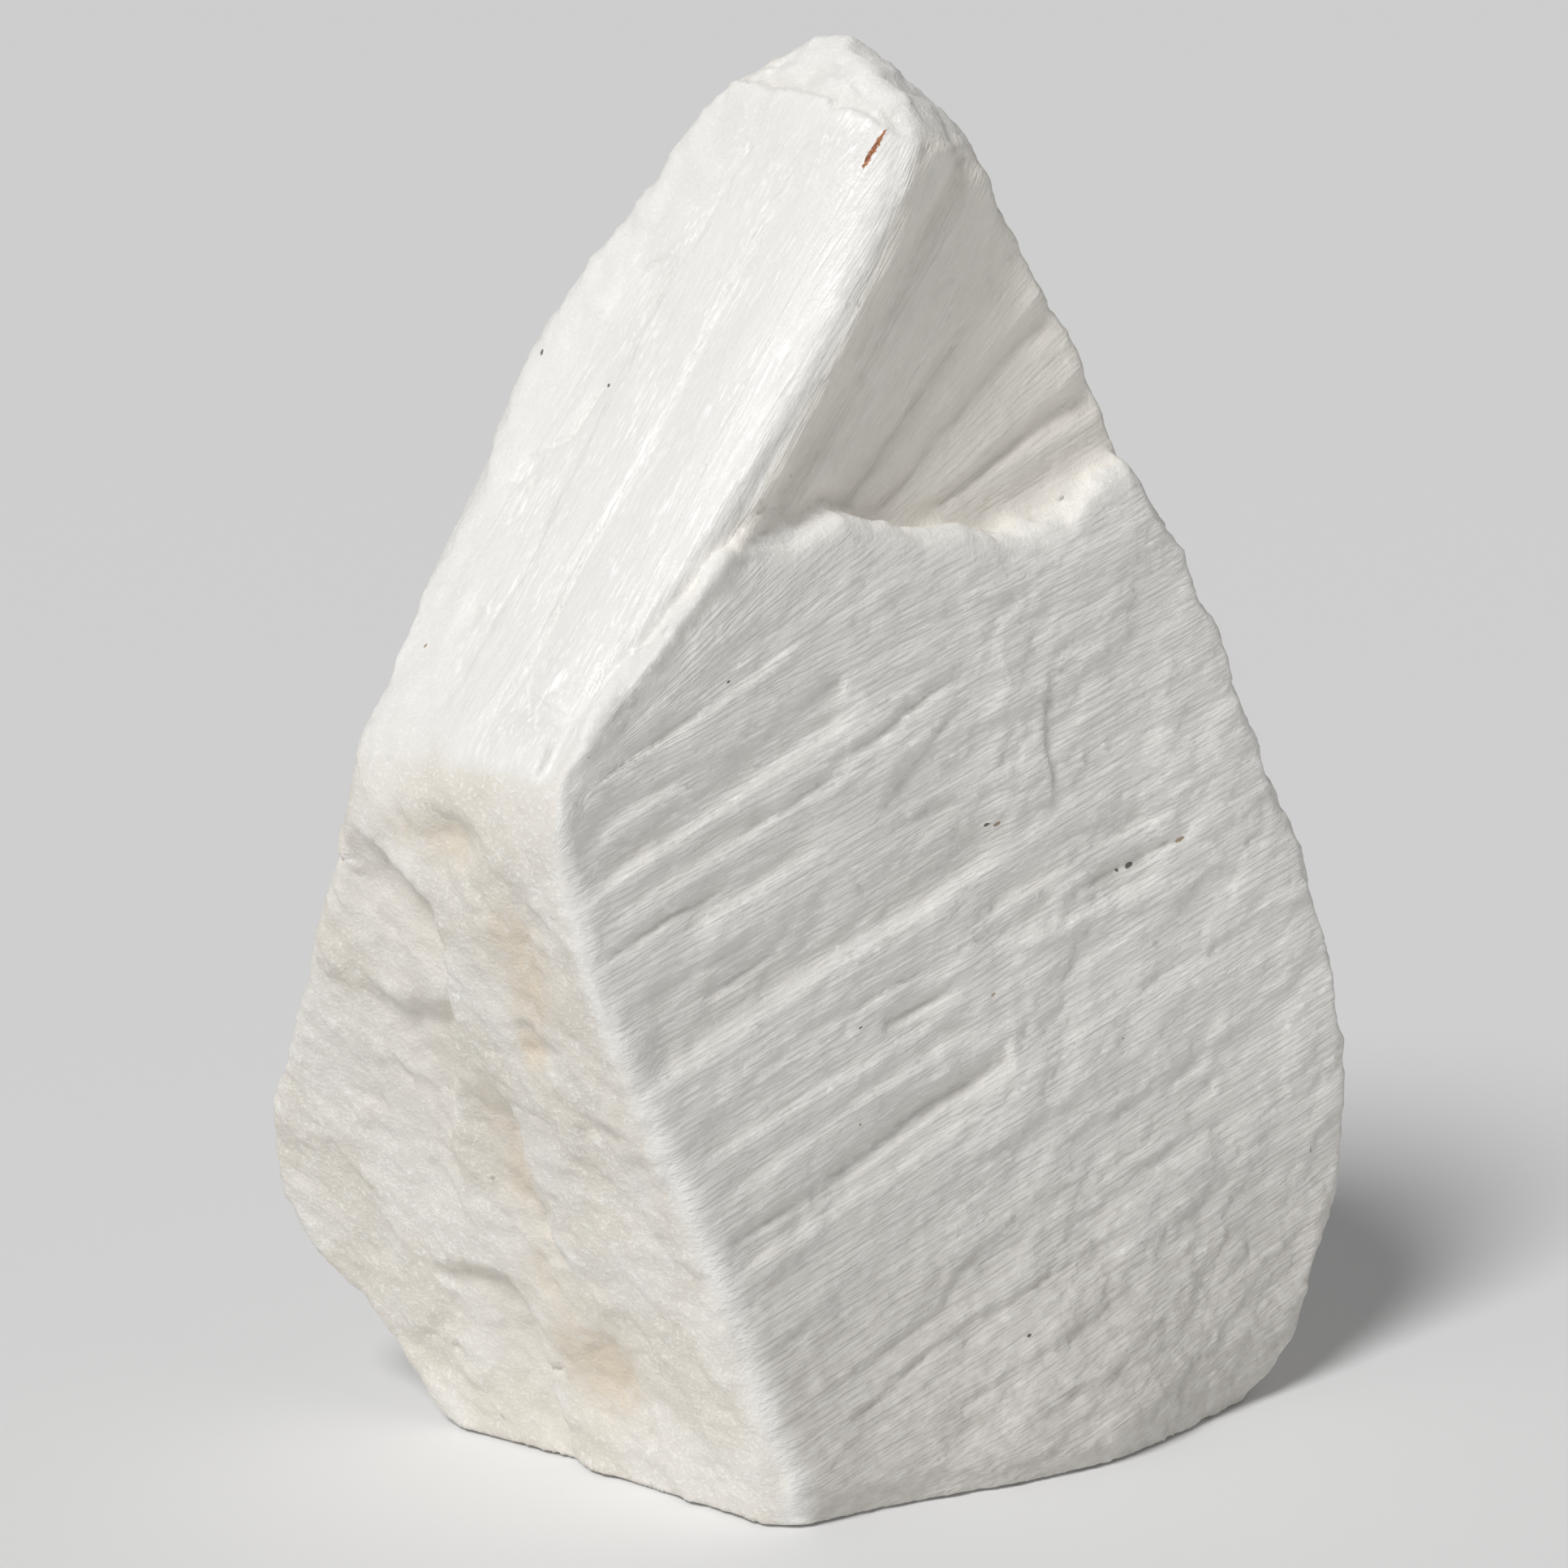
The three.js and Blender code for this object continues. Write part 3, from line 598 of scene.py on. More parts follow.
BRIGHT_GROOVES = [
    ([(-8.5, -2.5), (-4, -2.4), (0, -1.9), (3, -1.3), (8, -0.9)], 0.4, 0.25),
    ([(6.4, 6.8), (10.9, 7.2)], 0.45, 0.22),
    ([(12.4, 7.6), (14, 6.2), (17, 6), (18.2, 5.5)], 0.4, 0.25),
    ([(25, 4.4), (31, 3), (37, 1.4), (40, 0.3)], 0.3, 0.25),
    ([(5.1, 10.2), (6.4, 9.1)], 0.35, 0.35),
    ([(-4.5, -5.6), (-2, -5.9)], 0.3, 0.25),
    ([(36.3, -8.65), (37.6, -9.15), (39.4, -9.75)], 0.15, 0.35),
    ([(9.3, 8.4), (12.1, 7.9)], 0.35, 0.6),
    ([(0, 2.7), (8, 3.6)], 0.25, 0.2),
]
# On the end face the points are across it and up.
END_LEDGES = [
    ([(13.3, 47.2), (9.4, 44.8), (7.9, 42.2), (7.9, 39.4), (8.2, 36.4), (8.5, 33.5),
      (10.4, 28.9), (11.7, 24.9), (12, 22), (13.2, 17)], 0.28, 4, -1, 0.9),
    ([(17.7, 37.6), (15.6, 35.4), (13.6, 34.3), (9.3, 34.8)], 0.35, 3, -1, 0.9),
    ([(6.4, 30), (5, 27.2), (5.2, 24), (5.2, 21), (4.2, 18), (2.8, 15.8)], 0.8, 3, -1, 1.0),
    ([(18.8, 13.4), (14, 14.7), (10.4, 14.3), (9.2, 11.6), (8.5, 8.5), (8.3, 5.2),
      (7.5, 2.2), (6.4, -1)], 1.0, 5, -1, 1.2),
    ([(1.8, 36.4), (0.4, 34.8), (-1.6, 33.6)], 0.35, 2, -1, 1.0),
    ([(-1.6, 29.7), (-4.2, 29.2), (-5.4, 28.3)], 0.45, 2.5, -1, 1.1),
    ([(0.6, 26.6), (-1.4, 25.4), (-3.4, 24)], 0.3, 2.5, -1, 1.2),
    ([(25, 21.5), (22, 19.5), (19.8, 17), (18.6, 14)], 0.3, 4, -1, 2.2),
    ([(24, 10.5), (20.5, 7), (16.5, 4.4), (14, 2.5)], 0.3, 3, -1, 1.8),
    ([(1.8, 14.6), (-1.2, 14.2), (-3, 12.6), (-3.2, 9)], 0.4, 2.5, -1, 1.4),
    ([(7.6, 49.8), (4.4, 49.6), (2.4, 48.4), (2.2, 46.6)], 0.35, 2.5, -1, 1.2),
    ([(-0.2, 47.2), (-1.8, 44.6), (-3, 41.6)], 0.3, 2, -1, 1.2),
    ([(16.6, 30.8), (14.8, 29), (12.4, 28.6)], 0.3, 2.5, -1, 1.2),
]
END_GROOVES = [
    ([(9.2, 7.4), (8, 7.3), (6.8, 7.9)], 0.45, 0.3), ([(17.6, 6.6), (16.6, 7)], 0.4, 0.5),
    ([(-0.6, 4.4), (-1.6, 3.8)], 0.4, 0.6),
    ([(6.9, 46.6), (5.6, 44.6), (4.9, 42)], 0.2, 0.8),
]


def slab_end(c):
    """How far along the fibres the bright side reaches, where its strands are broken off."""
    jagged = 0.35 * noise(c / 0.55, 0 * c, 0 * c + 0.3, 41)
    jagged = jagged + 0.3 * noise(c / 1.7, 0 * c, 0 * c + 0.3, 42)
    return np.where(c > -4.3, 40.5, 39.8) + jagged


def regions(x, y, z, normal):
    """How granular the surface is at each point, where it is the flat base, and its faces."""
    part = faces(x, y, z)
    run, inward = along_sheet(x, y)
    crest = part["crest"]
    fronts = np.maximum.reduce([part[name] for name in ("end", "front", "bright", "cap")])
    part["is_back"] = part["back"] > fronts
    part["behind"] = part["back"] - fronts
    part["is_bright"] = part["bright"] > np.maximum(part["flat_front"], part["end"])
    part["is_sheet"] = (inward < -3) & (crest < CREST_EDGE) & ~part["is_bright"]
    part["on_bright"] = step(-1.6, -0.5, part["bright"]) * ~part["is_back"]
    part["bowed"] = step(-3.2, -1.4, part["bright"]) * ~part["is_back"]

    a, _, c = fibre_place(x, y, z, part)
    end_on = np.abs((normal * fibre_direction(x, y, z, part)).sum(-1))
    grain = step(0.55, 0.85, end_on)
    others = np.maximum.reduce([part[name] for name in ("end", "front", "bright")])
    grain = np.maximum(grain, step(-0.9, 0.3, part["cap"] - others))
    rim = step(-2.8, -0.8, crest + 1.2 * flat_noise(run, z, 2.5, 2.5, 91))
    rim = rim * step(2.5, 0.6, crest) * (inward < -3) * (part["bright"] < -1.5)
    grain = np.maximum(grain, 0.85 * rim)
    rough_edge = 9.5 - 0.016 * (a - 15) ** 2 + 1.6 * flat_noise(a, c, 5, 3, 93)
    grain = np.maximum(grain, 0.7 * part["on_bright"] * step(-1.2, 1.2, c - rough_edge))
    grain = np.maximum(grain, part["on_bright"] * step(0.2, 0.6, a - slab_end(c)))

    # Where two sets of fibres meet the edge is broken and granular.
    below = np.where(crest < CREST_EDGE, part["flat_front"], -9)
    seam = step(1.1, 0.1, np.abs(part["bright"] - np.maximum(part["end"], below)))
    seam = seam * step(-3, -1.6, part["bright"])
    facing_end = part["end"] - np.maximum(part["front"], part["bright"])
    seam = np.maximum(seam, step(-0.4, 0.3, facing_end))
    seam = np.maximum(seam, step(1.3, 0.1, np.abs(part["back"] - fronts)))
    grain = np.maximum(grain, seam)
    base = step(-0.25, -0.05, -z) * (normal[:, 2] < -0.5)
    return grain, base, part


def fibrous_relief(x, y, z, part, turned):
    """Height of the silky faces, where the fibres lie in the surface."""
    run, inward = along_sheet(x, y)
    plain_a, plain_b, plain_c = fibre_place(x, y, z, part)
    a, c = plain_a, bowed(plain_a, plain_c, part["bowed"])
    b = plain_b + 0.25 * stretched(a, plain_b, c, 30, 8, 17)
    on_front = step(-1.4, -0.4, part["front"]) * (inward < 0)
    on_bright = part["on_bright"]
    sheet = on_front * (part["crest"] < 0.3) * (1 - on_bright)
    hollow = on_front * (part["crest"] >= 0.3) * (1 - on_bright)

    low = step(24, 12, z + 2 * flat_noise(run, z, 9, 9, 19))
    right = sheet * step(-12, 8, run)
    behind = step(0.5, 3, part["behind"])
    strong = 0.27 - 0.12 * right + 0.13 * hollow - 0.16 * on_bright + 0.4 * behind
    strong = strong * (1 - 0.4 * low * sheet)
    strong = strong * (1 - 0.5 * sheet * step(-8, -1, part["crest"]))
    strong = strong * (1 - 0.5 * sheet * step(-3.5, -0.8, part["end"]))
    strong = strong * (1 - 0.8 * hill(run + 27, 5.5) * hill(z - 57, 6))
    strong = strong * (0.75 + 0.4 * np.clip(2 * stretched(a, b, c, 26, 7, 31), -1, 1))

    height = 0.34 * strong * (billow(a, b, c, 3.1, 36, 11) - 0.3)
    height += 0.2 * strong * (billow(a, b, c, 1.5, 22, 13) - 0.3)
    height += 0.16 * (0.15 + strong) * (billow(a, b, c, 0.75, 11, 15) - 0.3)
    flat_on = laths(a, b, c, 2.0, 17, 101) * 0.22 + laths(a, b, c, 0.95, 9, 111) * 0.17
    edge_on = laths(a, c, b, 2.2, 19, 121) * 0.22 + laths(a, c, b, 1.0, 10, 131) * 0.17
    height += strong * (flat_on * (1 - turned) + edge_on * turned)
    height += 0.3 * strong * splinters(a, b, c, 1.4, 9, 71) * (1 - 0.6 * on_bright)
    height += 0.2 * stretched(a, b, c, 34, 6.5, 47) * (1 - 0.5 * on_bright)
    patches = 0.13 * plateaus(a / 1.8, b, c, 6, 95) + 0.09 * plateaus(a / 2.2, b, c, 2.2, 98)
    patches = patches * (1 + 0.6 * right + 1.6 * behind)
    crumbs = 0.07 * stretched(a, b, c, 2.4, 1.1, 49)
    crumbs = crumbs + 0.04 * stretched(a, b, c, 1.2, 0.6, 51)
    height += (1 - on_bright) * patches + (1 - 0.5 * on_bright) * crumbs
    height += 0.45 * behind * stretched(a, b, c, 15, 4.5, 55)

    tilt = math.radians(26.5)
    climb = z * math.cos(tilt) - run * math.sin(tilt)
    climb = climb + 1.3 * flat_noise(run, z, 9, 7, 21)
    climb = climb + 0.5 * flat_noise(run, z, 3, 2.5, 22)
    shelf = -climb / 4.6 - np.floor(-climb / 4.6)
    lip = shelf * step(1.0, 0.93, shelf)
    height += 0.26 * low * sheet * (0.5 * lip + 0.6 * flat_noise(run, z, 8, 5, 25) - 0.25)

    wobble = 0.16 * flat_noise(plain_a, plain_b, 1.6, 0.8, 27)
    wobble = wobble + 0.3 * flat_noise(plain_a, plain_b, 7, 3, 28)
    for depth in breaks(plain_a, plain_b, wobble, SHEET_LEDGES, SHEET_GROOVES):
        height -= sheet * depth

    sway = plain_b + 0.7 * flat_noise(plain_a, plain_b, 14, 6, 33)
    folded = along(HOLLOW_FOLDS, sway) * (0.75 + 0.5 * flat_noise(plain_a, plain_b, 11, 4, 35))
    height += hollow * folded * step(4, 14, plain_a)

    jiggle = 0.14 * flat_noise(plain_a, plain_c, 1.2, 0.6, 37)
    for depth in breaks(plain_a, plain_c, jiggle, BRIGHT_LEDGES, BRIGHT_GROOVES):
        height -= on_bright * depth
    return height


def past_strands(x, y, z, part):
    """How far past the bright side's broken strands, and how much of that top is there."""
    a, _, c = fibre_place(x, y, z, {**part, "is_back": False})
    share = step(-2.5, -0.8, part["bright"]) * step(3.5, 0.5, part["behind"]) * (z > CAP_BOTTOM)
    return a - slab_end(c), share


def broken_top(x, y, z, part):
    """Depth of the grainy top below the ends of the bright side's strands."""
    past, share = past_strands(x, y, z, part)
    return 0.8 * share * step(0, 0.45, past)


def granular_relief(x, y, z, part):
    """Height of the sugary faces, where the fibres end. It is drawn out down to the right."""
    across = across_end(x, y)
    inward = along_sheet(x, y)[1]
    drawn = 0.77 * across + 0.64 * z
    over = 0.64 * across - 0.77 * z
    end = step(-4.5, -1.5, part["end"]) * step(END_TOP, 55, z)
    height = (0.5 - 0.22 * end) * stretched(over, drawn, inward, 4.5, 8, 53)
    height += (0.3 - 0.13 * end) * noise(over / 2.1, drawn / 3.6, inward / 3.4, 57)
    height += 0.15 * noise(over / 1.05, drawn / 1.5, inward / 1.4, 58)
    height += 0.09 * lumps(x, y, z, 0.66, 59)
    height += (0.24 - 0.12 * end) * plateaus(over, drawn / 1.5, inward / 1.4, 6.0, 63)
    height += 0.1 * end * plateaus(over, drawn / 2, inward / 2, 2.4, 83)
    top = step(-1.8, -0.3, part["cap"])
    height += top * (0.3 * lumps(x, y, z, 2.4, 85) + 0.16 * noise(x, y, z, 86))
    return height


def relief(x, y, z, normal):
    """Height to add along the surface normal, in millimetres."""
    grain, base, part = regions(x, y, z, normal)
    sheet_normal = np.abs(normal[:, 1] * COS_TURN - normal[:, 0] * SIN_TURN)
    turned = step(0.62, 0.45, sheet_normal)
    silky = fibrous_relief(x, y, z, part, turned)
    sugary = granular_relief(x, y, z, part) - broken_top(x, y, z, part)
    return (silky * (1 - grain) + sugary * grain) * (1 - base)


# --- meshing ---


def fill_pinches(values):
    """Fills grid points where two parts of the surface would touch along one edge."""
    changed = True
    while changed:
        changed = False
        for first, second in ((0, 1), (1, 2), (0, 2)):
            def corner(du, dv):
                cut = [slice(None)] * 3
                for axis, d in ((first, du), (second, dv)):
                    size = values.shape[axis]
                    cut[axis] = slice(d, size - 1 + d)
                return tuple(cut)
            va, vb, vc, vd = (values[corner(*d)] for d in ((0, 0), (1, 0), (1, 1), (0, 1)))
            even, odd = (va < 0) & (vc < 0), (vb < 0) & (vd < 0)
            touching = (
                (even & (vb >= 0) & (vd >= 0), (1, 0)),
                (odd & (va >= 0) & (vc >= 0), (0, 0)),
            )
            for inside, filled in touching:
                if inside.any():
                    values[corner(*filled)][inside] = -JUST_INSIDE
                    changed = True


def net_surface(low, high, pitch):
    """Vertices and quads of the surface, one vertex to each grid cell it passes through."""
    count = [int(math.ceil((h - l) / (pitch * BLOCK))) for l, h in zip(low, high)]
    coarse = [l + pitch * BLOCK * (np.arange(n) + 0.5) for l, n in zip(low, count)]
    centres = np.stack(np.meshgrid(*coarse, indexing="ij"), -1).reshape(-1, 3)
    rough = stone_field(centres).reshape(count)
    values, close = (
        coarse_values.repeat(BLOCK, 0).repeat(BLOCK, 1).repeat(BLOCK, 2)
        for coarse_values in (rough, np.abs(rough) < pitch * BLOCK * NEAR_BLOCKS)
    )
    places = np.argwhere(close)
    found = np.empty(len(places))
    for at in range(0, len(places), BATCH):
        part = places[at : at + BATCH]
        found[at : at + BATCH] = stone_field(part * pitch + np.array(low))
    values[close] = found
    fill_pinches(values)

    inside = values < 0
    size = values.shape
    filled = np.zeros([n - 1 for n in size], int)
    for corner in CORNERS:
        filled += inside[tuple(slice(d, n - 1 + d) for n, d in zip(size, corner))]
    cells = np.argwhere((filled > 0) & (filled < 8))
    number = -np.ones(filled.shape, int)
    number[tuple(cells.T)] = np.arange(len(cells))
    total, crossings = np.zeros((len(cells), 3)), np.zeros(len(cells))
    for start in np.array(CORNERS):
        for axis in range(3):
            if start[axis]:
                continue
            end = start.copy()
            end[axis] = 1
            va, vb = values[tuple((cells + start).T)], values[tuple((cells + end).T)]
            crossed = (va < 0) != (vb < 0)
            t = np.where(crossed, va / np.where(crossed, va - vb, 1), 0)
            total += crossed[:, None] * (start + t[:, None] * (end - start))
            crossings += crossed
    vertices = (cells + total / crossings[:, None]) * pitch + np.array(low)

    quads = []
    for axis in range(3):
        first, after = (
            tuple(slice(*own) if k == axis else slice(1, n - 1) for k, n in enumerate(size))
            for own in ((0, size[axis] - 1), (1, size[axis]))
        )
        changed = inside[first] != inside[after]
        here = np.argwhere(changed) + [0 if k == axis else 1 for k in range(3)]
        u, v = np.eye(3, dtype=int)[(axis + 1) % 3], np.eye(3, dtype=int)[(axis + 2) % 3]
        quad = np.stack([number[tuple((here - shift).T)] for shift in (0 * u, u, u + v, v)], -1)
        outward = inside[first][changed]
        quad[~outward] = quad[~outward][:, ::-1]
        quads.append(quad)
    return vertices, np.concatenate(quads)


def to_surface(points, passes, limit):
    for _ in range(passes):
        value = stone_field(points)
        slope = np.empty_like(points)
        for axis in range(3):
            shift = np.zeros(3)
            shift[axis] = PROBE
            slope[:, axis] = (stone_field(points + shift) - value) / PROBE
        move = np.clip(value / np.maximum((slope**2).sum(-1), 0.2), -limit, limit)
        points = points - move[:, None] * slope
    return points


def gather(total, index, values):
    """Adds each value to the row of the total that its index names."""
    for k in range(3):
        total[:, k] += np.bincount(index, values[:, k], len(total))


def evened(points, quads):
    """Each vertex moved half way to the middle of its neighbours."""
    total = np.zeros_like(points)
    for n in range(4):
        for neighbour in (quads[:, (n + 1) % 4], quads[:, n - 1]):
            gather(total, quads[:, n], points[neighbour])
    met = 2 * np.bincount(quads.ravel(), minlength=len(points))
    return 0.5 * points + 0.5 * total / met[:, None]


def subdivided(points, quads):
    """Every quad cut into four."""
    edges = np.sort(np.stack([quads, np.roll(quads, -1, axis=1)], -1).reshape(-1, 2), axis=1)
    code, which = np.unique(edges[:, 0] * len(points) + edges[:, 1], return_inverse=True)
    ends = np.stack([code // len(points), code % len(points)], -1)
    middles = points[ends].mean(1)
    centres = points[quads].mean(1)
    edge_at = which.reshape(-1, 4) + len(points)
    centre_at = np.arange(len(quads)) + len(points) + len(middles)
    split = [
        np.stack([quads[:, n], edge_at[:, n], centre_at, edge_at[:, n - 1]], -1) for n in range(4)
    ]
    return np.concatenate([points, middles, centres]), np.concatenate(split)


def normals_of(points, quads):
    corner = [points[quads[:, n]] for n in range(4)]
    cross = np.cross(corner[2] - corner[0], corner[3] - corner[1])
    total = np.zeros_like(points)
    for n in range(4):
        gather(total, quads[:, n], cross)
    return total / np.maximum(np.linalg.norm(total, axis=1), 1e-12)[:, None]


def build_mesh(name, points, quads):
    mesh = bpy.data.meshes.new(name)
    mesh.vertices.add(len(points))
    mesh.vertices.foreach_set("co", points.astype(np.float32).ravel())
    mesh.loops.add(quads.size)
    mesh.loops.foreach_set("vertex_index", quads.astype(np.int32).ravel())
    mesh.polygons.add(len(quads))
    mesh.polygons.foreach_set("loop_start", np.arange(0, quads.size, 4, dtype=np.int32))
    mesh.update(calc_edges=True)
    return mesh


def make_surface():
    """Places and quads of the carved surface, and the middle of the plain one, in mm."""
    points, quads = net_surface(GRID_LOW, GRID_HIGH, GRID_PITCH)
    for _ in range(SMOOTHINGS):
        points = to_surface(evened(points, quads), 1, 0.5)
    points, quads = subdivided(points, quads)
    points = to_surface(points, 2, 0.3)
    middle = (points.min(0) + points.max(0)) / 2

    normal = normals_of(points, quads)
    points = points + relief(*points.T, normal)[:, None] * normal
    points[:, 2] = np.maximum(points[:, 2], 0)
    return points, quads, middle


def thinned(stone, triangles, most):
    """The object's mesh with its flattest parts thinned out, in place of its own."""
    thin = stone.modifiers.new("thin", "DECIMATE")
    thin.ratio = min(1.0, most / triangles)
    graph = bpy.context.evaluated_depsgraph_get()
    mesh = bpy.data.meshes.new_from_object(stone.evaluated_get(graph))
    stone.modifiers.clear()
    full, stone.data = stone.data, mesh
    bpy.data.meshes.remove(full)
    return mesh


def vertex_values(mesh, name):
    flat = np.empty(3 * len(mesh.vertices), np.float32)
    mesh.vertices.foreach_get(name, flat)
    return flat.reshape(-1, 3).astype(float)


def add_material_values(mesh):
    """What the material needs to know at each vertex."""
    place, normal = vertex_values(mesh, "co"), vertex_values(mesh, "normal")
    x, y, z = place.T
    grain, base, part = regions(x, y, z, normal)
    a, b, c = fibre_place(x, y, z, part)
    c = bowed(a, c, part["bowed"])
    bands = stretched(a, b, c, 33, 2.8, 201) + 0.5 * stretched(a, b, c, 16, 1.4, 202)
    clumps = stretched(a, b, c, 6.2, 2.9, 203) + 0.5 * stretched(a, b, c, 3, 1.4, 204)
    clouds = lumps(x, y, z, 6.5, 205) + 0.5 * lumps(x, y, z, 3.2, 206)
    clumps = 0.25 + 0.75 * step(-0.25, 0.35, clumps)

    at_end = step(-3.5, -1.5, part["end"])
    on_front = step(-2, -0.6, part["front"]) * (1 - part["bowed"])
    # Painted shade: the front sheet is darker towards the bottom.
    low = step(34, 2, z + 2 * noise(x / 9, y / 9, z / 5, 29)) * (part["crest"] < CREST_EDGE)
    across = across_end(x, y)
    # Painted shade: darker in the hollows of the end face, and just past the broken ends of the
    # bright side's strands.
    deep = step(0.1, 1.6, end_relief(across, z) + end_lips(across, z)) * at_end
    past, share = past_strands(x, y, z, part)
    shade_past_strands = share * step(0, 0.3, past) * np.exp(-np.maximum(past, 0) / 2)
    warm = step(-4, -1.5, part["end"]) * step(END_TOP, 52, z) + 0.5 * part["is_back"]
    values = {
        "fibre": np.stack([a, b, c], -1),
        "grain": grain,
        "base": base,
        "tone": np.stack([bands, clumps, clouds], -1),
        # How far each point stands out of the smooth shape; the material paints shade in the low
        # parts and a highlight on the high ones.
        "proud": stone_field(place),
        "low": low * on_front * step(-0.5, -2.5, part["end"]),
        "deep": np.maximum(deep, 0.35 * shade_past_strands),
        "bright_side": part["bowed"],
        "warm": np.clip(warm, 0, 1),
        # A painted highlight along the rounded edge between the end face and the front sheet.
        "edge_highlight": hill(part["end"] - part["front"], 1.7) * step(57, 48, z) * on_front,
        "honey": on_front * (0.3 + 0.7 * (part["crest"] > 0.3)),
        "stain": end_stain(across, z) * at_end,
    }
    for name, value in values.items():
        in_threes = value.ndim == 2
        layer = mesh.attributes.new(name, "FLOAT_VECTOR" if in_threes else "FLOAT", "POINT")
        field = "vector" if in_threes else "value"
        layer.data.foreach_set(field, value.astype(np.float32).ravel())
    return place


def make_stone():
    points, quads, middle = make_surface()
    stone = add_object("stone_of_silky_fibres", build_mesh("stone_mesh", points, quads))
    mesh = thinned(stone, 2 * len(quads), MOST_TRIANGLES)
    place = add_material_values(mesh)

    shift = np.array((cad_low + cad_high) / 2) / MM - middle
    shift[2] = 0
    mesh.vertices.foreach_set("co", ((place + shift) * MM).astype(np.float32).ravel())
    mesh.polygons.foreach_set("use_smooth", np.ones(len(mesh.polygons), bool))
    mesh.update()
    return stone, shift


# Peach staining in the hollows of the end face: across, height, half width, half height and
# strength.
STAINS = [
    (5.7, 47.6, 3.2, 1.9, 0.7), (9.8, 47.9, 2.4, 1.9, 0.5), (1.2, 42, 2.6, 2.2, 0.7),
    (0.4, 38.2, 2.9, 4.2, 0.9), (1.6, 33.5, 1.4, 1.8, 0.9), (7.3, 27.4, 1.9, 2.8, 0.65),
    (6.9, 22.4, 2.1, 3.2, 0.75), (6.4, 15.4, 2.6, 3.2, 0.6), (2.2, 8.6, 3.4, 4.2, 1.0),
    (5.6, 9.2, 2.3, 3.0, 0.55), (-4.8, 28.6, 1.4, 1.0, 0.45), (12.5, 40.5, 3, 3, 0.2),
]


def end_stain(across, z):
    stain = np.zeros(np.shape(z))
    for middle, height, half_width, half_height, strength in STAINS:
        spot = strength * hill(across - middle, half_width) * hill(z - height, half_height)
        stain = 1 - (1 - stain) * (1 - np.clip(spot, 0, 1))
    return stain


# --- material ---

# Dark specks caught in the fibres: where along, across and inward, and their half sizes.
# On the bright side, far across, they follow the bow of its fibres.
BRIGHT_SIDE_FROM = 80
SPECKS = [
    ((1.7, 60.9, -10.6), (0.14, 0.1, 3), "black"),
    ((18.6, 41.8, -12), (0.24, 0.1, 3), "black"),
    ((19.4, 41.5, -12), (0.31, 0.11, 3), "brown"),
    ((28.6, 33.6, -12.4), (0.12, 0.1, 3), "black"),
    ((29.7, 33.5, -12.4), (0.37, 0.14, 3), "black"),
    ((34.4, 33.4, -12.2), (0.43, 0.11, 3), "brown"),
    ((3.2, 33.8, -13.6), (0.19, 0.07, 3), "black"),
    ((14.5, 30.8, -13.4), (0.25, 0.06, 3), "brown"),
    ((0.7, 27.7, -14.1), (0.09, 0.08, 3), "black"),
    ((7.6, 8.1, -16.1), (0.19, 0.09, 3), "black"),
    ((24.2, 22.6, -13.6), (0.1, 0.07, 3), "brown"),
    ((18.2, 88, 5.45), (0.13, 5, 0.12), "black"),
    ((19.1, 88, 12.15), (0.21, 5, 0.11), "black"),
    ((-3.6, 88, 7.1), (0.17, 5, 0.09), "brown"),
]
SPECK_TINTS = {"black": (0.09, 0.075, 0.06, 1), "brown": (0.36, 0.27, 0.17, 1)}
RUST_MARK = (38.35, 88, -5.19)
RUST_HALF_LENGTH = 1.55
RUST_HALF_WIDTH = 0.13
BUMP_STRENGTH = 0.57
BUMP_DEPTH = 0.0002
STONE_SHADING = {
    "Specular IOR Level": 0.45,
    "IOR": 1.52,
    "Subsurface Weight": 0.16,
    "Subsurface Radius": (1.0, 0.9, 0.74),
    "Subsurface Scale": 0.0018,
}


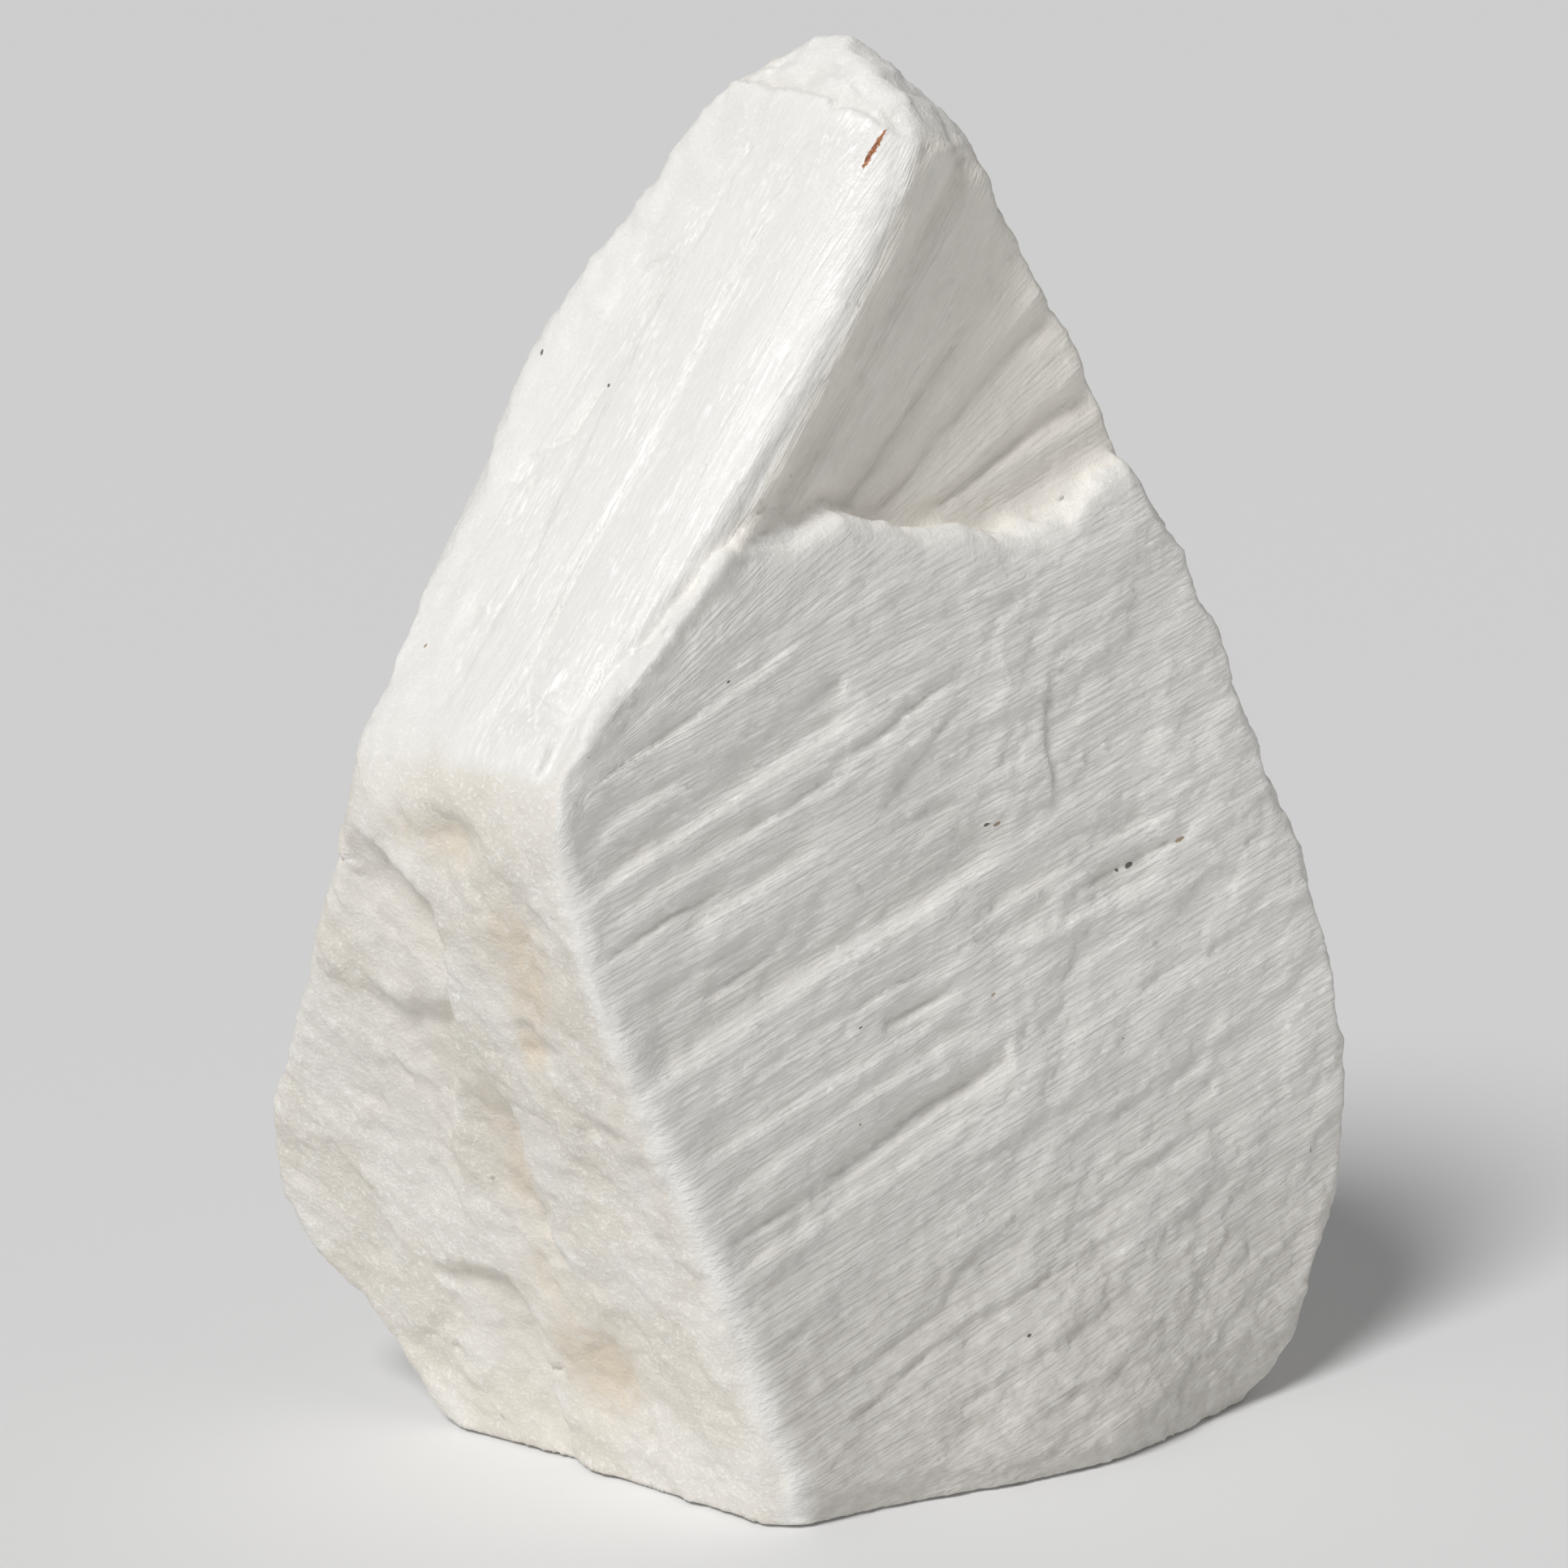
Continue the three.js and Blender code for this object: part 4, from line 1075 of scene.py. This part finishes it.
class Nodes:
    """Short names for making and joining shader nodes."""

    def __init__(self, tree):
        self.tree = tree

    def new(self, kind, **settings):
        node = self.tree.nodes.new(kind)
        for name, value in settings.items():
            setattr(node, name, value)
        return node

    def link(self, source, target):
        self.tree.links.new(source, target)

    def put(self, value, socket):
        if isinstance(value, bpy.types.NodeSocket):
            self.link(value, socket)
        else:
            socket.default_value = value

    def math(self, operation, a, b=0.0, clamp=False):
        node = self.new("ShaderNodeMath", operation=operation, use_clamp=clamp)
        self.put(a, node.inputs[0])
        self.put(b, node.inputs[1])
        return node.outputs[0]

    def vector(self, operation, a, b=(0, 0, 0), c=(0, 0, 0)):
        node = self.new("ShaderNodeVectorMath", operation=operation)
        for value, socket in zip((a, b, c), node.inputs):
            self.put(value, socket)
        return node.outputs["Value" if operation in ("LENGTH", "DOT_PRODUCT") else "Vector"]

    def attribute(self, name):
        return self.new("ShaderNodeAttribute", attribute_name=name)

    def parts(self, vector):
        node = self.new("ShaderNodeSeparateXYZ")
        self.link(vector, node.inputs[0])
        return node.outputs

    def noise(self, vector, detail, rough):
        node = self.new("ShaderNodeTexNoise")
        self.put(vector, node.inputs["Vector"])
        set_inputs(node, {"Scale": 1.0, "Detail": detail, "Roughness": rough})
        return node.outputs["Fac"]

    def spread(self, value, low, high, to_low=0.0, to_high=1.0):
        node = self.new("ShaderNodeMapRange", interpolation_type="SMOOTHSTEP")
        self.put(value, node.inputs["Value"])
        set_inputs(node, {"From Min": low, "From Max": high, "To Min": to_low, "To Max": to_high})
        return node.outputs["Result"]

    def times(self, *values):
        product = values[0]
        for value in values[1:]:
            product = self.math("MULTIPLY", product, value)
        return product

    def plus(self, *values):
        total = values[0]
        for value in values[1:]:
            total = self.math("ADD", total, value)
        return total

    def mix(self, factor, a, b):
        node = self.new("ShaderNodeMix", data_type="RGBA")
        self.put(factor, node.inputs[0])
        self.put(a, node.inputs[6])
        self.put(b, node.inputs[7])
        return node.outputs[2]

    def bump(self, height, strength, distance):
        node = self.new("ShaderNodeBump")
        set_inputs(node, {"Strength": strength, "Distance": distance})
        self.put(height, node.inputs["Height"])
        return node.outputs["Normal"]


def nearest_speck(n, fibre, specks, ragged):
    """How far the nearest speck's ragged edge is, in half sizes of that speck."""
    reach = None
    for (along_fibre, across, inward), half_sizes, _ in specks:
        on_bright = float(across > BRIGHT_SIDE_FROM)
        scale = [1 / size for size in half_sizes]
        middle = (along_fibre, across, float(bowed(along_fibre, inward, on_bright)))
        offset = [-m * k for m, k in zip(middle, scale)]
        scaled = n.vector("MULTIPLY_ADD", fibre, scale, offset)
        length = n.vector("LENGTH", scaled)
        reach = length if reach is None else n.math("MINIMUM", reach, length)
    return n.plus(reach, n.times(ragged, 1.1))


def stone_material():
    material, shader = new_material("scolecite_white")
    n = Nodes(material.node_tree)

    fibre = n.attribute("fibre").outputs["Vector"]
    grain, base, proud, bright_side = (
        n.attribute(name).outputs["Fac"] for name in ("grain", "base", "proud", "bright_side")
    )
    warm, low, deep, honey, edge_highlight, stain = (
        n.attribute(name).outputs["Fac"]
        for name in ("warm", "low", "deep", "honey", "edge_highlight", "stain")
    )
    bands, clumps, clouds = n.parts(n.attribute("tone").outputs["Vector"])
    per_metre = (1 / MM,) * 3
    place = n.vector("MULTIPLY", n.new("ShaderNodeTexCoord").outputs["Object"], per_metre)
    silky = n.math("SUBTRACT", 1.0, grain)

    strands, silk, glint, sugar, crumbs = (
        n.noise(n.vector("MULTIPLY", spot, per_mm), detail, rough)
        for spot, per_mm, detail, rough in (
            (fibre, (0.11, 1.3, 1.3), 2.0, 0.62),
            (fibre, (0.26, 3.1, 3.1), 1.0, 0.65),
            (fibre, (0.75, 5.0, 5.0), 1.0, 0.6),
            (place, (3.2, 3.2, 3.2), 1.0, 0.7),
            (place, (0.9, 0.9, 0.9), 1.0, 0.6),
        )
    )

    white = (0.89, 0.876, 0.845, 1)
    # A pale colour for painted sheen, painted glints and painted highlights on crests and edges.
    painted_sheen = (0.965, 0.955, 0.93, 1)
    cool = (0.80, 0.782, 0.745, 1)
    groove_shade = (0.74, 0.71, 0.66, 1)
    shade = (0.66, 0.63, 0.585, 1)
    pocket = (0.735, 0.69, 0.615, 1)
    cream = (0.785, 0.742, 0.665, 1)
    peach = (0.735, 0.645, 0.52, 1)
    painted_glint = (1, 0.995, 0.98, 1)
    honeyed = (0.95, 0.885, 0.775, 1)
    creamy = n.times(n.plus(n.times(warm, 0.85), 0.15), n.spread(clouds, -0.4, 0.4, 0.5, 1.0))
    shining = n.times(silky, clumps)
    mottle = n.plus(n.times(crumbs, 0.6), n.times(sugar, 0.7), n.times(stain, 0.4))
    across_saw = n.parts(place)[1]
    saw = n.math("SINE", n.plus(n.times(across_saw, 5.2), clouds))
    layers = (
        (n.times(n.spread(bands, -0.4, 0.4), 0.22), cool),
        (n.times(n.spread(strands, 0.5, 0.28), silky, 0.27), cool),
        # Painted shade where the surface lies below its smooth shape, and a painted highlight where
        # it stands proud.
        (n.times(n.spread(proud, 0.0, -0.7), silky, 0.33), groove_shade),
        (n.spread(proud, 0.0, 0.45, 0.0, 0.6), painted_sheen),
        # Painted sheen and painted glints along the silky fibres.
        (n.times(n.spread(silk, 0.55, 0.75), shining, 0.9), painted_sheen),
        (n.times(n.spread(glint, 0.57, 0.67), shining), painted_glint),
        (n.times(n.spread(strands, 0.58, 0.78), silky, 0.5), painted_sheen),
        # A warmer tone over the front sheet; the stronger warmth in the hollow is painted warm
        # shade.
        (n.times(honey, 0.5), honeyed),
        # Painted shade, darker towards the bottom of the front sheet.
        (n.times(low, n.spread(crumbs, 0.3, 0.7, 0.62, 1.0)), shade),
        (n.times(creamy, grain), cream),
        # Painted glints on the sugary grains.
        (n.times(grain, n.spread(sugar, 0.54, 0.68), 0.6), painted_sheen),
        # Painted shade in the hollows of the end face and just past the broken strand ends.
        (n.times(deep, 0.5), pocket),
        # A painted highlight along the rounded lower edge between the end face and the front sheet.
        (n.times(edge_highlight, n.spread(clouds, -0.5, 0.5, 0.1, 0.75)), painted_sheen),
        (n.times(n.spread(mottle, 0.7, 0.98, 0.12, 1.0), stain), peach),
        (n.times(base, n.plus(n.times(saw, 0.15), 0.5)), cool),
    )
    colour = white
    for share, tint in layers:
        colour = n.mix(share, colour, tint)

    ragged = n.math("SUBTRACT", sugar, 0.5)
    for tint, speck_colour in SPECK_TINTS.items():
        reach = nearest_speck(n, fibre, [speck for speck in SPECKS if speck[2] == tint], ragged)
        colour = n.mix(n.spread(reach, 1.3, 0.9, 0.0, 0.9), colour, speck_colour)

    lengthwise, _, inward = n.parts(n.vector("SUBTRACT", fibre, RUST_MARK))
    crosswise = n.plus(inward, n.times(lengthwise, -0.05), n.times(ragged, 0.3))
    share = n.times(lengthwise, 1 / RUST_HALF_LENGTH)
    share = n.times(share, share)
    taper = n.math("SUBTRACT", 1.0, n.times(share, share), clamp=True)
    inside = n.math("SUBTRACT", n.times(taper, RUST_HALF_WIDTH), n.math("ABSOLUTE", crosswise))
    rust = n.times(n.spread(inside, -0.03, 0.04), bright_side)
    rusty = n.mix(n.spread(sugar, 0.35, 0.65), (0.26, 0.075, 0.018, 1), (0.47, 0.17, 0.045, 1))
    colour = n.mix(rust, colour, rusty)
    n.link(colour, shader.inputs["Base Color"])

    sheen = n.spread(silk, 0.3, 0.7, 0.56, 0.38)
    dull = n.spread(sugar, 0.35, 0.7, 0.66, 0.46)
    rough = n.plus(n.times(sheen, silky), n.times(dull, grain), n.times(base, 0.15))
    n.link(rough, shader.inputs["Roughness"])

    calmer = n.math("SUBTRACT", 1.35, n.times(bright_side, 0.6))
    sugary = n.plus(n.times(grain, 0.35), 0.35)
    height = n.plus(n.times(silk, silky, calmer), n.times(sugar, sugary))
    n.link(n.bump(height, BUMP_STRENGTH, BUMP_DEPTH), shader.inputs["Normal"])

    shader.subsurface_method = "BURLEY"
    set_inputs(shader, STONE_SHADING)
    return material


# --- stage ---

FLOOR_HALF_WIDTH = 6.0
FLOOR_DROP = 0.0002
FLOOR_SHADING = {
    "Base Color": (0.82, 0.82, 0.82, 1),
    "Roughness": 0.9,
    "Specular IOR Level": 0.1,
    "Emission Color": (1, 1, 1, 1),
    "Emission Strength": 0.02,
}
STUDIO_STRENGTH = 0.225
KEY_DIRECTION = (-0.38, -0.56, 0.74)
KEY_SOFTNESS = math.radians(20)
KEY_SHARE = 0.7
CAMERA_DISTANCE = 300.0
CAMERA_RISE = math.radians(12)
CAMERA_TARGET = (-2.7, -6.6, 48.5)
LENS, SENSOR = 100, 36
NEAR_CLIP, FAR_CLIP = 0.01, 50


def make_floor():
    half = FLOOR_HALF_WIDTH
    corners = [(-half, -half, 0), (half, -half, 0), (half, half, 0), (-half, half, 0)]
    mesh = bpy.data.meshes.new("floor_mesh")
    mesh.from_pydata(corners, [], [(0, 1, 2, 3)])
    material, shader = new_material("pale_floor")
    set_inputs(shader, FLOOR_SHADING)
    mesh.materials.append(material)
    floor = add_object("floor", mesh)
    floor.location.z = -FLOOR_DROP


def sun_light(name, direction, softness, share):
    """A soft even light. Its share is the brightness it gives a white surface facing it."""
    light = bpy.data.lights.new(name, "SUN")
    light.angle = softness
    light.energy = math.pi * share
    lamp = add_object(name, light)
    lamp.rotation_euler = Vector(direction).to_track_quat("Z", "Y").to_euler()
    lamp.location = Vector(direction)


def make_camera(shift):
    back_and_up = np.array([0, -math.cos(CAMERA_RISE), math.sin(CAMERA_RISE)])
    place = np.array(CAMERA_TARGET) + shift + CAMERA_DISTANCE * back_and_up
    camera = add_object("camera", bpy.data.cameras.new("camera"))
    camera.data.lens, camera.data.sensor_width = LENS, SENSOR
    camera.data.clip_start, camera.data.clip_end = NEAR_CLIP, FAR_CLIP
    camera.location = place * MM
    camera.rotation_euler = (math.pi / 2 - CAMERA_RISE, 0, 0)
    bpy.context.scene.camera = camera


def make_light():
    world = bpy.data.worlds.new("studio")
    world.use_nodes = True
    background = world.node_tree.nodes["Background"]
    set_inputs(background, {"Color": (1, 1, 1, 1), "Strength": STUDIO_STRENGTH})
    bpy.context.scene.world = world
    sun_light("key", KEY_DIRECTION, KEY_SOFTNESS, KEY_SHARE)
    view = bpy.context.scene.view_settings
    view.view_transform, view.look = "Standard", "None"
    view.exposure, view.gamma = 0, 1


stone, shift = make_stone()
stone.data.materials.clear()
stone.data.materials.append(stone_material())
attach(stone, "root")
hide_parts("scolecite")

make_floor()
make_light()
make_camera(shift)
